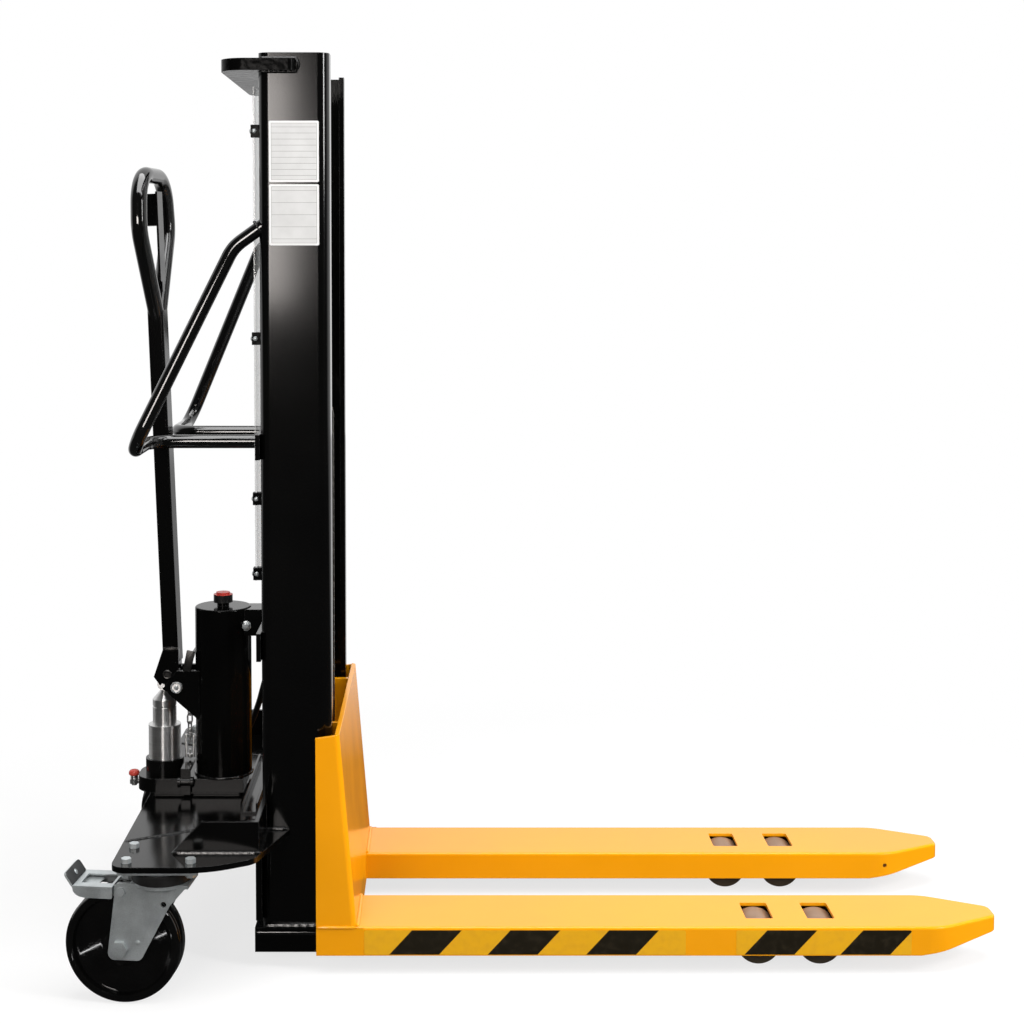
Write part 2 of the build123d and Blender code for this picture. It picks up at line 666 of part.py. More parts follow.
def chain_pulleys():
    """Two grooved pulleys, one each side of the rod's head."""
    left = cross_bar(pulley_r, mast_mid, pulley_z, pulley_inner, pulley_outer)
    rim = pulley_r + PULLEY_RIM_H
    left += cross_bar(rim, mast_mid, pulley_z, pulley_inner, pulley_inner + PULLEY_RIM)
    left += cross_bar(rim, mast_mid, pulley_z, pulley_outer - PULLEY_RIM, pulley_outer)
    left -= cross_bar(PULLEY_AXLE_D / 2 + RUN, mast_mid, pulley_z, pulley_inner - 1, pulley_outer + 1)
    return [left, flip(left)]


def chain_wrap():
    """Chains where they lie over the pulleys."""
    left = cross_bar(chain_outer, mast_mid, pulley_z, *chain_y)
    left -= cross_bar(chain_inner, mast_mid, pulley_z, *chain_y)
    below = (pulley_z - 2 * chain_outer, pulley_z)
    sweep_box = (mast_mid - 2 * chain_outer, mast_mid + 2 * chain_outer)
    left -= block(sweep_box, (0, 2 * pulley_outer), below)
    return [left, flip(left)]


def chain_run(side, low):
    """Both chains on one side of the pulleys, from a height up to the pulley axle."""
    span = (mast_mid + side * chain_inner, mast_mid + side * chain_outer)
    left = block(span, chain_y, (low, pulley_z))
    return [left, flip(left)]


def bolt_places():
    """Centres of the left castor's four plate bolts."""
    xs = (castor_x - BOLT_PITCH_X / 2, castor_x + BOLT_PITCH_X / 2)
    ys = (castor_y - BOLT_PITCH_Y / 2, castor_y + BOLT_PITCH_Y / 2)
    return [(x, y) for x in xs for y in ys]


def bolt_holes(low, high):
    """Cutters for the left castor's bolt holes."""
    radius = BOLT_D / 2 + BOLT_HOLE_GAP
    return [bar(radius, (x, y, low), (x, y, high)) for x, y in bolt_places()]


def deck_plate():
    """Middle of the rear deck, between the weld seams."""
    rear = deck_side - SEAM_REAR_IN
    front = mast_outer - SEAM_FRONT_IN
    plan = [(deck_rear, -rear), (deck_rear, rear), (mast_rear, front), (mast_rear, -front)]
    return plate_z(plan, deck_bottom, deck_top)


def deck_wing():
    """Left side of the deck, from the seam to the mast's outer face."""
    shoulder = (mast_rear + WING_SHOULDER_X, deck_side - WING_SHOULDER_IN)
    plan = [
        (deck_rear, deck_side - SEAM_REAR_IN),
        (deck_rear, deck_side),
        (mast_rear - WING_START, deck_side),
        shoulder,
        (mast_rear + WING_TIP, mast_outer),
        (mast_rear, mast_outer),
        (mast_rear, mast_outer - SEAM_FRONT_IN),
    ]
    rounds = [0, DECK_CORNER, WING_START_ROUND, WING_SHOULDER_ROUND, 0, 0, 0]
    body = plate_z(plan, deck_bottom, deck_top, rounds)
    for hole in bolt_holes(deck_bottom - 1, deck_top + 1):
        body -= hole
    return body


def deck_gusset():
    """Left gusset on the deck, with its return to the mast."""
    front = mast_rear + GUSSET_LEAD
    rear = front - GUSSET_LENGTH
    top = deck_top + GUSSET_H
    outer = deck_side - GUSSET_IN
    side = [(rear, deck_top), (rear + GUSSET_SLOPE, top), (front, top), (front, deck_top)]
    body = plate_y(side, outer - GUSSET_T, outer)
    return body + block((front - GUSSET_T, front), (mast_outer, outer), (deck_top, top))


def deck_stiffener():
    """Channel across the deck behind the mast, open upwards."""
    half = STIFFENER_HALF
    body = block((stiffener_rear, stiffener_front), (-half, half), (deck_top, deck_top + STIFFENER_H))
    gap = (stiffener_rear + STIFFENER_WALL, stiffener_front - STIFFENER_WALL)
    return body - block(gap, (-half - 1, half + 1), (deck_top + STIFFENER_WALL, deck_top + STIFFENER_H + 1))


def push_bar(reach):
    """Left push bar: bent tube, cut to the mast's round corner, that ends at the middle crossbar."""
    outer = mast_outer - BAR_EDGE
    corner = mast_rear - reach
    slope = BAR_STUB_DROP / BAR_STUB
    route = [
        (mast_rear + MAST_CORNER, outer, BAR_HIGH + MAST_CORNER * slope),
        (mast_rear - BAR_STUB, outer, BAR_HIGH - BAR_STUB_DROP),
        (corner, outer + BAR_FLARE, BAR_LOW),
        (corner, BAR_INNER_Y, BAR_LOW),
        (mast_rear - BAR_T, BAR_INNER_Y, BAR_LOW),
    ]
    path = FilletPolyline(*route, radius=list(BAR_BENDS))
    return tube(path, BAR_D / 2, BAR_TUBE_WALL) - mast_outside()


def guard_screen():
    """Clear sheet behind the mast, with holes for the push bars."""
    half = mast_outer - SCREEN_EDGE
    front = mast_rear - BAR_T - SCREEN_STANDOFF
    top = mast_top - SCREEN_DROP
    body = block((front - SCREEN_T, front), (-half, half), (SCREEN_BOTTOM, top))
    for y in (-BAR_INNER_Y, BAR_INNER_Y):
        radius = BAR_D / 2 + SCREEN_HOLE_GAP
        body -= bar(radius, (front - SCREEN_T - 1, y, BAR_LOW), (front + 1, y, BAR_LOW))
    return body


def clip_spans():
    """Heights of the four pairs of clips, clear of the flat bars."""
    (middle_low, middle_high), (_, tank_bar_high) = crossbar_spans()
    lows = [
        tank_bar_high + CLIP_OVER_TANK_BAR,
        middle_low - CLIP_UNDER_MID_BAR - CLIP_HEIGHT,
        middle_high + CLIP_OVER_MID_BAR,
        mast_top - SCREEN_DROP - CLIP_UNDER_EDGE - CLIP_HEIGHT,
    ]
    return [(low, low + CLIP_HEIGHT) for low in lows]


def screen_clips():
    """Clips that hold the screen's edges to the mast."""
    half = mast_outer - SCREEN_EDGE
    front = mast_rear - BAR_T - SCREEN_STANDOFF
    clips = []
    for span in clip_spans():
        clip = block((front - SCREEN_T - CLIP_BACK, mast_rear), (half - CLIP_LAP, half + CLIP_OUT), span)
        slot = (front - SCREEN_T, front)
        clip -= block(slot, (0, half), (span[0] - 1, span[1] + 1))
        clips += [clip, flip(clip)]
    return clips


def castor_frame(shape):
    """Left castor piece moved from its swivel axis to its place under the deck."""
    return Pos(castor_x, castor_y, 0) * Rot(0, 0, CASTOR_TURN) * shape


def castor_plate():
    """Left top plate with its race and kingpin."""
    low = castor_top - CASTOR_PLATE_T
    half_l = CASTOR_PLATE_L / 2
    half_w = CASTOR_PLATE_W / 2
    body = block((castor_x - half_l, castor_x + half_l), (castor_y - half_w, castor_y + half_w), (low, castor_top))
    centre = (castor_x, castor_y)
    race = CUP_D / 2 - CUP_WALL - RACE_GAP
    body += bar(race, (*centre, low - RACE_T), (*centre, low))
    head_top = crown_bottom - EASE
    body += bar(KINGPIN_D / 2, (*centre, head_top - KINGPIN_HEAD_H), (*centre, low))
    body += bar(KINGPIN_HEAD_D / 2, (*centre, head_top - KINGPIN_HEAD_H), (*centre, head_top))
    for hole in bolt_holes(low - 1, castor_top + 1):
        body -= hole
    return body


def castor_bolts():
    """Bolts and nuts that hold both castor plates under the deck."""
    bolts = []
    low = castor_top - CASTOR_PLATE_T
    for x, y in bolt_places():
        bolt = bar(BOLT_D / 2, (x, y, low - BOLT_HEAD_H), (x, y, deck_top))
        for z in (low - BOLT_HEAD_H, deck_top):
            bolt += Pos(x, y, z) * extrude(RegularPolygon(BOLT_HEAD_D / 2, 6), BOLT_HEAD_H)
        bolts += [bolt, flip(bolt)]
    return bolts


leg_gap = WHEEL_W / 2 + CASTOR_LEG_GAP
leg_face = leg_gap + CASTOR_SHEET
wheel_z = WHEEL_D / 2
pedal_x = PEDAL_PIVOT_X - WHEEL_TRAIL
pedal_z = WHEEL_D - PEDAL_CLEAR + EASE


def castor_fork(braked):
    """Left swivel fork with its wheel axle, and two stub pins where it has a brake pedal."""
    foot = wheel_z - CASTOR_LEG_FOOT
    brow = CUP_D / 2 + CASTOR_SHEET - EASE
    profile = [
        (-WHEEL_TRAIL - CASTOR_LEG_HEEL, foot),
        (-WHEEL_TRAIL + CASTOR_LEG_TOE, foot),
        (WHEEL_TRAIL / 3, wheel_z + CASTOR_LEG_RISE),
        (brow, crown_top),
        (pedal_x - PEDAL_EYE, crown_top),
    ]
    rounds = [CASTOR_LEG_ROUND, CASTOR_LEG_ROUND, CASTOR_LEG_ROUND * 3, 0, CASTOR_LEG_ROUND / 2]
    leg = plate_y(profile, leg_gap, leg_face, rounds)
    body = leg + flip(leg)
    crown_rear = pedal_x + PEDAL_EYE + CROWN_GAP
    body += block((crown_rear, brow), (-leg_face, leg_face), (crown_bottom, crown_top))
    cup = bar(CUP_D / 2, (0, 0, crown_bottom), (0, 0, crown_top + CUP_H))
    cup -= bar(CUP_D / 2 - CUP_WALL, (0, 0, crown_top), (0, 0, crown_top + CUP_H + 1))
    body += cup
    body -= bar(KINGPIN_D / 2 + RUN, (0, 0, crown_bottom - 1), (0, 0, crown_top + 1))
    eye_z = crown_bottom - CASTOR_EYE_DROP
    body -= cross_bar(CASTOR_EYE_D / 2, CASTOR_EYE_X, eye_z, -leg_face - 1, leg_face + 1)
    ear_in = leg_gap - EASE - PEDAL_SHEET
    pins = [(-WHEEL_TRAIL, wheel_z, CASTOR_AXLE_D, CASTOR_NUT_D, 0)]
    if braked:
        pins.append((pedal_x, pedal_z, PEDAL_PIN_D, PEDAL_PIN_HEAD, ear_in))
    solids = []
    for x, z, size, head, inner in pins:
        body -= cross_bar(size / 2 + RUN, x, z, -leg_face - 1, leg_face + 1)
        height = CASTOR_NUT_H * head / CASTOR_NUT_D
        cap = Pos(x, leg_face, z) * Rot(-90, 0, 0) * extrude(RegularPolygon(head / 2, 6), height)
        pin = cross_bar(size / 2, x, z, inner, leg_face) + cap
        solids += [pin, flip(pin)] if inner else [pin + flip(pin)]
    return [castor_frame(solid) for solid in [body] + solids]


def castor_wheel():
    """Left castor wheel with a dished disc and a hub."""
    half = WHEEL_W / 2
    body = cross_bar(WHEEL_D / 2, -WHEEL_TRAIL, wheel_z, -half, half)
    body = fillet(body.edges().filter_by(GeomType.CIRCLE), WHEEL_ROUND)
    dish = cross_bar(WHEEL_D / 2 - WHEEL_RIM, -WHEEL_TRAIL, wheel_z, half - WHEEL_DISH, half + 1)
    body -= dish + flip(dish)
    hub = leg_gap - HUB_GAP
    body += cross_bar(HUB_D / 2, -WHEEL_TRAIL, wheel_z, -hub, hub)
    body -= cross_bar(CASTOR_AXLE_D / 2 + RUN, -WHEEL_TRAIL, wheel_z, -hub - 1, hub + 1)
    return castor_frame(body)


def brake_pedal():
    """Left brake pedal: folded pedal with ears on its pin, a toe lip and a shoe."""
    top = WHEEL_D + PEDAL_CLEAR + PEDAL_SHEET + EASE
    plate = top - PEDAL_SHEET
    rear = pedal_x - PEDAL_LENGTH
    neck = pedal_x - PEDAL_NECK
    half = PEDAL_WIDTH / 2
    body = block((rear, neck), (-half, half), (plate, top))
    cut_x = (rear + neck) / 2 + CASTOR_SHEET
    cut = (cut_x - PEDAL_CUT_L / 2, cut_x + PEDAL_CUT_L / 2)
    body -= block(cut, (-PEDAL_CUT_W / 2, PEDAL_CUT_W / 2), (plate - 1, top + 1))
    flange = [(rear, plate), (neck, plate), (neck, top - PEDAL_DEPTH), (rear + PEDAL_DEPTH, top - PEDAL_DEPTH)]
    side = plate_y(flange, half - PEDAL_SHEET, half)
    ear_out = leg_gap - EASE
    ear = plate_y(
        [(neck - PEDAL_EYE, top), (pedal_x, top), (pedal_x, pedal_z - PEDAL_EYE), (neck - PEDAL_EYE, pedal_z - PEDAL_EYE)],
        ear_out - PEDAL_SHEET,
        ear_out,
    )
    ear += cross_bar(PEDAL_EYE, pedal_x, pedal_z, ear_out - PEDAL_SHEET, ear_out)
    body += side + flip(side) + ear + flip(ear)
    lip = [(rear, plate), (rear, top), (rear - PEDAL_LIP_LEAN, top + PEDAL_LIP)]
    lip += [(rear - PEDAL_LIP_LEAN - PEDAL_SHEET, top + PEDAL_LIP), (rear - PEDAL_SHEET, plate)]
    body += plate_y(lip, PEDAL_SHEET - half, half - PEDAL_SHEET)
    shoe_x = -WHEEL_TRAIL - SHOE_SETBACK
    shoe = ((shoe_x - SHOE_LENGTH, shoe_x), (-SHOE_W / 2, SHOE_W / 2), (plate - SHOE_T, plate))
    body += block(*shoe)
    body += block((shoe_x - SHOE_LENGTH, shoe_x), (-half, half), (plate, top))
    body -= cross_bar(PEDAL_PIN_D / 2 + RUN, pedal_x, pedal_z, -half, half)
    return castor_frame(body)


def pump_block():
    """Pump base block on its foot, with lugs for the release lever."""
    half = BLOCK_W / 2
    plan = [(block_rear, -half), (block_front, -half), (block_front, half), (block_rear, half)]
    body = plate_z(plan, block_bottom, block_top, [BLOCK_ROUND, 0, 0, BLOCK_ROUND])
    inner = half - BLOCK_FOOT_IN
    foot = (deck_rear + BLOCK_FOOT_IN, block_front - BLOCK_FOOT_IN)
    body += block(foot, (-inner, inner), (deck_top, block_bottom))
    for side in (-1, 1):
        near = release_x + side * (RELEASE_W / 2 + EASE)
        far = near + side * RELEASE_LUG
        lug = bar(RELEASE_LUG_D / 2, (near, release_pin_y, release_pin_z), (far, release_pin_y, release_pin_z))
        arm = (release_pin_z - RELEASE_LUG_D / 2, release_pin_z)
        lug += block((near, far), (release_pin_y, 1 - half), arm)
        body += lug
    ends = release_x - RELEASE_W, release_x + RELEASE_W
    pin = (release_pin_y, release_pin_z)
    return body - bar(RELEASE_PIN_D / 2 + RUN, (ends[0], *pin), (ends[1], *pin))


def pivot_pins():
    """Handle pivot pin with its heads, and the release lever's pin."""
    reach = YOKE_WIDTH / 2 + EAR_GAP + EAR_T
    handle_pin = cross_bar(PIVOT_D / 2, pivot_x, pivot_z, -reach, reach)
    head = cross_bar(PIVOT_HEAD_D / 2, pivot_x, pivot_z, reach, reach + PIVOT_HEAD_H)
    half = RELEASE_W / 2 + EASE + RELEASE_LUG
    ends = [(release_x + side * half, release_pin_y, release_pin_z) for side in (-1, 1)]
    return [handle_pin + head + flip(head), bar(RELEASE_PIN_D / 2, *ends)]


def pump_barrel():
    """Pump barrel, bored for the plunger."""
    foot = (barrel_x, 0, block_top)
    body = bar(BARREL_D / 2, foot, (barrel_x, 0, barrel_top))
    bore = PLUNGER_D / 2 + RUN
    return body - bar(bore, (barrel_x, 0, block_top + BARREL_FLOOR), (barrel_x, 0, barrel_top + 1))


def pump_collar():
    """Locking collar round the foot of the barrel."""
    body = bar(COLLAR_D / 2, (barrel_x, 0, block_top), (barrel_x, 0, block_top + COLLAR_H))
    return body - bar(BARREL_D / 2 + RUN, (barrel_x, 0, block_top - 1), (barrel_x, 0, block_top + COLLAR_H + 1))


def pump_plunger():
    """Plunger with a coned top and a groove."""
    foot = barrel_top - PLUNGER_SUNK
    neck = plunger_top - PLUNGER_CONE
    r = PLUNGER_D / 2
    groove = neck - PLUNGER_GROOVE_DROP
    half = PLUNGER_GROOVE
    section = [
        (0, foot),
        (r, foot),
        (r, groove - half),
        (r - half, groove),
        (r, groove + half),
        (r, neck),
        (PLUNGER_TIP / 2, plunger_top),
        (0, plunger_top),
    ]
    face = outline([(x, 0, z) for x, z in section], [0] * len(section))
    return Pos(barrel_x, 0, 0) * revolve(face, Axis.Z)


def oil_tank():
    """Hollow oil tank with a filler neck."""
    body = bar(TANK_D / 2, (tank_x, 0, block_top), (tank_x, 0, tank_top))
    body = fillet(body.edges().sort_by(Axis.Z)[-1], TANK_RIM)
    inside = TANK_D / 2 - TANK_WALL
    body -= bar(inside, (tank_x, 0, block_top + TANK_WALL), (tank_x, 0, tank_top - TANK_WALL))
    body += bar(NECK_D / 2, (tank_x, 0, tank_top - TANK_WALL), (tank_x, 0, tank_top + NECK_H))
    bore = NECK_D / 2 - TANK_WALL
    return body - bar(bore, (tank_x, 0, tank_top - 2 * TANK_WALL), (tank_x, 0, tank_top + NECK_H + 1))


def filler_cap():
    """Screw cap over the filler neck, with a raised ring on top."""
    low = tank_top + CAP_LIFT
    high = tank_top + CAP_LIFT + CAP_H
    body = bar(CAP_D / 2, (tank_x, 0, low), (tank_x, 0, high))
    body += bar(CAP_RING_D / 2, (tank_x, 0, high), (tank_x, 0, high + CAP_RING_H))
    return body - bar(NECK_D / 2 + RUN, (tank_x, 0, low - 1), (tank_x, 0, tank_top + NECK_H + EASE))


def tank_bracket():
    """Bracket from the tank to the bar across the mast."""
    span = (tank_top - BRACKET_DROP - BRACKET_H, tank_top - BRACKET_DROP)
    body = block((tank_x, mast_rear - BAR_T), (-BRACKET_HALF, BRACKET_HALF), span)
    return body - bar(TANK_D / 2, (tank_x, 0, span[0] - 1), (tank_x, 0, span[1] + 1))


def relief_valve():
    """Relief valve standing at the rear end of the pump block, with its cap."""
    x = block_rear - VALVE_CAP_D / 2 - EASE
    seat = block_top - VALVE_DROP
    body = bar(VALVE_D / 2, (x, 0, block_bottom), (x, 0, seat))
    body += block((x, block_rear), (-VALVE_D / 2, VALVE_D / 2), (block_bottom, seat))
    return body + bar(VALVE_CAP_D / 2, (x, 0, seat), (x, 0, seat + VALVE_CAP_H))


def handle_bracket():
    """Two ears on the tank for the handle pivot, joined by the handle's stop."""
    inner = YOKE_WIDTH / 2 + EAR_GAP
    lean = EAR_ROUND * sin(pi / 4)
    side = [
        (pivot_x, pivot_z + EAR_RISE),
        (pivot_x - lean, pivot_z + lean),
        (pivot_x - lean, pivot_z - lean),
        (tank_x, pivot_z - EAR_FALL),
        (tank_x, pivot_z + EAR_RISE),
    ]
    ear = plate_y(side, inner, inner + EAR_T)
    ear += cross_bar(EAR_ROUND, pivot_x, pivot_z, inner, inner + EAR_T)
    ear -= cross_bar(PIVOT_D / 2 + RUN, pivot_x, pivot_z, inner - 1, inner + EAR_T + 1)
    stop_x = pivot_x + YOKE_WIDTH / 2 - STOP_LEAN / 2
    low = pivot_z + EAR_ROUND + STOP_T
    high = pivot_z + STOP_RISE
    stop = [(stop_x, low), (stop_x + STOP_T, low), (stop_x + STOP_T + STOP_LEAN, high), (stop_x + STOP_LEAN, high)]
    body = ear + flip(ear) + plate_y(stop, -inner - EAR_T, inner + EAR_T)
    return body - bar(TANK_D / 2, (tank_x, 0, block_top), (tank_x, 0, tank_top + EAR_FALL))


def hydraulic_hose():
    """Pressure hose from the pump block to the lift cylinder, with an elbow at each end."""
    middle = (block_bottom + block_top) / 2
    start = (tank_x, BLOCK_W / 2 + HOSE_FITTING_L, middle)
    end = (mast_mid - CYLINDER_D / 2 - 2 * HOSE_FITTING_L, 0, deck_top + HOSE_END_RISE)
    route = [start] + [(tank_x + x, y, deck_top + z) for x, y, z in HOSE_POINTS] + [end]
    runs = [Vector(*after) - Vector(*before) for before, after in zip(route, route[1:])]
    bends = []
    for before, after in zip(runs, runs[1:]):
        turn = radians(before.get_angle(after))
        bends.append(0.45 * min(before.length, after.length) / tan(turn / 2))
    hose = tube(FilletPolyline(*route, radius=bends), HOSE_D / 2, 0)
    radius = HOSE_FITTING_D / 2
    hose += Pos(*start) * Sphere(radius) + bar(radius, (tank_x, BLOCK_W / 2, middle), start)
    nipple = Pos(*end) * Sphere(radius) + bar(radius, end, (mast_mid, 0, end[2]))
    low = end[2] - HOSE_FITTING_D
    nipple -= bar(CYLINDER_D / 2, (mast_mid, 0, low), (mast_mid, 0, end[2] + HOSE_FITTING_D))
    return hose + nipple


def release_lever():
    """Cranked lever that opens the release valve: strap beside the block, arm to the chain."""
    x = (release_x - RELEASE_W / 2, release_x + RELEASE_W / 2)
    face = (release_pin_y - RELEASE_T / 2, release_pin_y + RELEASE_T / 2)
    top = release_pin_z + RELEASE_HEAD
    body = block(x, face, (release_pin_z - RELEASE_TAIL, top))
    body += block(x, (face[0], release_pin_y + RELEASE_REACH), (top - RELEASE_T, top))
    ends = [(value, release_pin_y, release_pin_z) for value in x]
    body += bar(RELEASE_BOSS_D / 2, *ends)
    return body - bar(RELEASE_PIN_D / 2 + RUN, *ends)


def release_chain():
    """Chain from the release lever up to the handle's pivot."""
    low = release_pin_z + RELEASE_HEAD + RELEASE_CHAIN_GAP
    return bar(RELEASE_CHAIN_D / 2, (release_x, 0, low), (release_x, 0, pivot_z - RELEASE_CHAIN_TOP))


def handle_shaft():
    """Yoke with its slot, and the rectangular shaft welded into it."""
    half = YOKE_WIDTH / 2
    edge = HANDLE_X / 2
    side = [
        (-HANDLE_OFFSET - edge - 3, YOKE_TOP),
        (-LEVER_ARM - 17, PUSH_ROLLER_D * 0.7),
        (-LEVER_ARM + 2, -PUSH_ROLLER_D / 2 + 3),
        (0, -EAR_ROUND),
        (EAR_ROUND * 0.7, EAR_ROUND * 0.7),
        (-HANDLE_OFFSET + edge - 3, EAR_ROUND + 12),
        (-HANDLE_OFFSET + edge - 3, YOKE_TOP),
    ]
    yoke = plate_y(side, -half, half) + cross_bar(EAR_ROUND, 0, 0, -half, half)
    slot = YOKE_SLOT / 2
    yoke -= block((-2 * LEVER_ARM, 2 * EAR_ROUND), (-slot, slot), (-2 * EAR_ROUND, YOKE_SLOT_TOP))
    yoke -= cross_bar(PIVOT_D / 2 + RUN, 0, 0, -half - 1, half + 1)
    yoke -= cross_bar(PUSH_PIN_D / 2 + RUN, -LEVER_ARM, 0, -half - 1, half + 1)
    shaft = shaft_solid(YOKE_TOP - SHAFT_SUNK, HANDLE_LENGTH)
    inner = RectangleRounded(HANDLE_X - 2 * HANDLE_WALL, HANDLE_Y - 2 * HANDLE_WALL, 1)
    hollow = HANDLE_LENGTH - HANDLE_WALL - YOKE_TOP
    shaft -= Pos(0, 0, YOKE_TOP) * extrude(inner, hollow)
    return Pos(pivot_x, 0, pivot_z) * yoke + shaft_place * shaft


def shaft_solid(low, high):
    """Outer form of the handle's shaft between two distances from the pivot."""
    section = RectangleRounded(HANDLE_X, HANDLE_Y, HANDLE_ROUND)
    return Pos(0, 0, low) * extrude(section, high - low)


def handle_loop():
    """Teardrop loop of tube on top of the shaft."""
    top = HANDLE_LENGTH + LOOP_TOP
    route = [
        (0, 0, top),
        (0, LOOP_HALF - LOOP_CROWN, top),
        (0, LOOP_HALF, HANDLE_LENGTH + LOOP_SHOULDER),
        (0, 0, HANDLE_LENGTH - LOOP_FOOT),
    ]
    path = FilletPolyline(*route, radius=[LOOP_TOP_BEND, LOOP_SIDE_BEND])
    half = tube(path, LOOP_D / 2, 0)
    body = half + flip(half)
    body -= Pos(0, 0, HANDLE_LENGTH / 2) * Box(2 * HANDLE_X, HANDLE_Y, HANDLE_LENGTH)
    pin = TRIGGER_PIN_HALF
    body -= cross_bar(TRIGGER_PIN_D / 2 + RUN, 0, HANDLE_LENGTH + TRIGGER_PIN_RISE, -pin, pin)
    return shaft_place * body


def handle_pins():
    """Push roller's pin in the yoke, and the trigger's pin in the loop."""
    half = YOKE_WIDTH / 2
    push = Pos(pivot_x, 0, pivot_z) * cross_bar(PUSH_PIN_D / 2, -LEVER_ARM, 0, -half, half)
    reach = TRIGGER_PIN_HALF
    trigger = cross_bar(TRIGGER_PIN_D / 2, 0, HANDLE_LENGTH + TRIGGER_PIN_RISE, -reach, reach)
    return [push, shaft_place * trigger]


def push_roller():
    """Roller in the yoke that presses the plunger down."""
    half = PUSH_ROLLER_W / 2
    body = cross_bar(PUSH_ROLLER_D / 2, barrel_x, pivot_z, -half, half)
    return body - cross_bar(PUSH_PIN_D / 2 + RUN, barrel_x, pivot_z, -half - 1, half + 1)


def control_trigger():
    """Finger lever in the loop: pinned stem, long plate and finger pad."""
    pin_z = HANDLE_LENGTH + TRIGGER_PIN_RISE
    stem = TRIGGER_STEM_HALF
    hub = TRIGGER_HUB_D / 2
    face = (TRIGGER_FACE - TRIGGER_T, TRIGGER_FACE)
    body = cross_bar(hub, 0, pin_z, -stem, stem)
    body += block((0, TRIGGER_FACE), (-stem, stem), (pin_z - hub / 2, pin_z + TRIGGER_NECK + TRIGGER_T))
    plate = (-TRIGGER_HALF, TRIGGER_HALF)
    body += block(face, plate, (pin_z + TRIGGER_NECK, pin_z + TRIGGER_TOP))
    pad_top = pin_z + TRIGGER_TOP - TRIGGER_PAD_DROP
    pad = block((-TRIGGER_PAD_BACK, face[1]), plate, (pad_top - TRIGGER_PAD, pad_top))
    body += pad
    body -= cross_bar(TRIGGER_PIN_D / 2 + RUN, 0, pin_z, -stem - 1, stem + 1)
    return shaft_place * body


def both_sides(name, left):
    """Right and left copies of a piece, named for their side."""
    return {f"{name}_right": flip(left), f"{name}_left": left}


nodes = {
    **both_sides("mast_channel", mast_channel()),
    "mast_top_plate": mast_top_plate(),
    "mast_crossbars": mast_crossbars(),
    "mast_low_plate": mast_low_plate(),
    "mast_base_beam": mast_base_beam(),
    **both_sides("support_leg", support_leg()),
    "load_roller_axles": load_axles(),
    "deck_plate": deck_plate(),
    "deck_wings": [deck_wing(), flip(deck_wing())],
    "deck_gussets": [deck_gusset(), flip(deck_gusset())],
    "deck_stiffener": deck_stiffener(),
    "push_bar_right": flip(push_bar(BAR_OUT)),
    "push_bar_left": push_bar(BAR_OUT_LEFT),
    "guard_screen": guard_screen(),
    "screen_clips": screen_clips(),
    "lift_cylinder": lift_cylinder(),
    "chain_fixed_run": chain_run(-1, anchor_top),
    "piston_rod": piston_rod(),
    "chain_pulleys": chain_pulleys(),
    "chain_wrap": chain_wrap(),
    "oil_tank": oil_tank(),
    "filler_cap": filler_cap(),
    "tank_bracket": tank_bracket(),
    "pump_block": pump_block(),
    "pump_barrel": pump_barrel(),
    "pump_collar": pump_collar(),
    "pump_plunger": pump_plunger(),
    "relief_valve": relief_valve(),
    "hydraulic_hose": hydraulic_hose(),
    "handle_bracket": handle_bracket(),
    "pivot_pins": pivot_pins(),
    "release_lever": release_lever(),
    "release_chain": release_chain(),
    "handle_shaft": handle_shaft(),
    "handle_loop": handle_loop(),
    "handle_pins": handle_pins(),
    "push_roller": push_roller(),
    "control_trigger": control_trigger(),
    "castor_plates": [castor_plate(), flip(castor_plate())],
    "castor_bolts": castor_bolts(),
    **both_sides("fork", fork()),
    "carriage_plate": carriage_plate(),
    "carriage_crossbar": carriage_crossbar(),
    "chain_moving_run": chain_run(1, CROSSBAR_TOP),
    "mast_rollers_low": mast_rollers(MAST_ROLLER_LOW),
    "mast_rollers_high": mast_rollers(MAST_ROLLER_HIGH),
    **both_sides("load_roller_rear", load_roller(load_roller_xs[0])),
    **both_sides("load_roller_front", load_roller(load_roller_xs[1])),
    **both_sides("castor_wheel", castor_wheel()),
    "brake_pedal": flip(brake_pedal()),
}
upright = carriage_upright()
nodes["carriage_uprights"] = upright + [flip(solid) for solid in upright]
nodes["castor_fork_left"] = castor_fork(False)
nodes["castor_fork_right"] = [flip(solid) for solid in castor_fork(True)]

pieces = {}
for name, shape in nodes.items():
    group = shape if isinstance(shape, list) else [shape]
    pieces[name] = Compound([solid for piece in group for solid in piece.solids()])
whole = Compound([solid for piece in pieces.values() for solid in piece.solids()]).bounding_box()
centre_shift = Pos(-(whole.min.X + whole.max.X) / 2, 0, 0)

os.makedirs("parts", exist_ok=True)
for name, piece in pieces.items():
    export_step(centre_shift * piece, f"parts/{name}.step")
print("pieces", len(pieces), "shift", round(centre_shift.position.X, 3), "mast top", mast_top)
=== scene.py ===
"""Dresses a hand-pumped pallet stacker: finishes, small fittings, studio light and camera."""

import json
import logging
import math
from dataclasses import dataclass
from enum import Enum

import bmesh
import bpy
from mathutils import Matrix, Vector

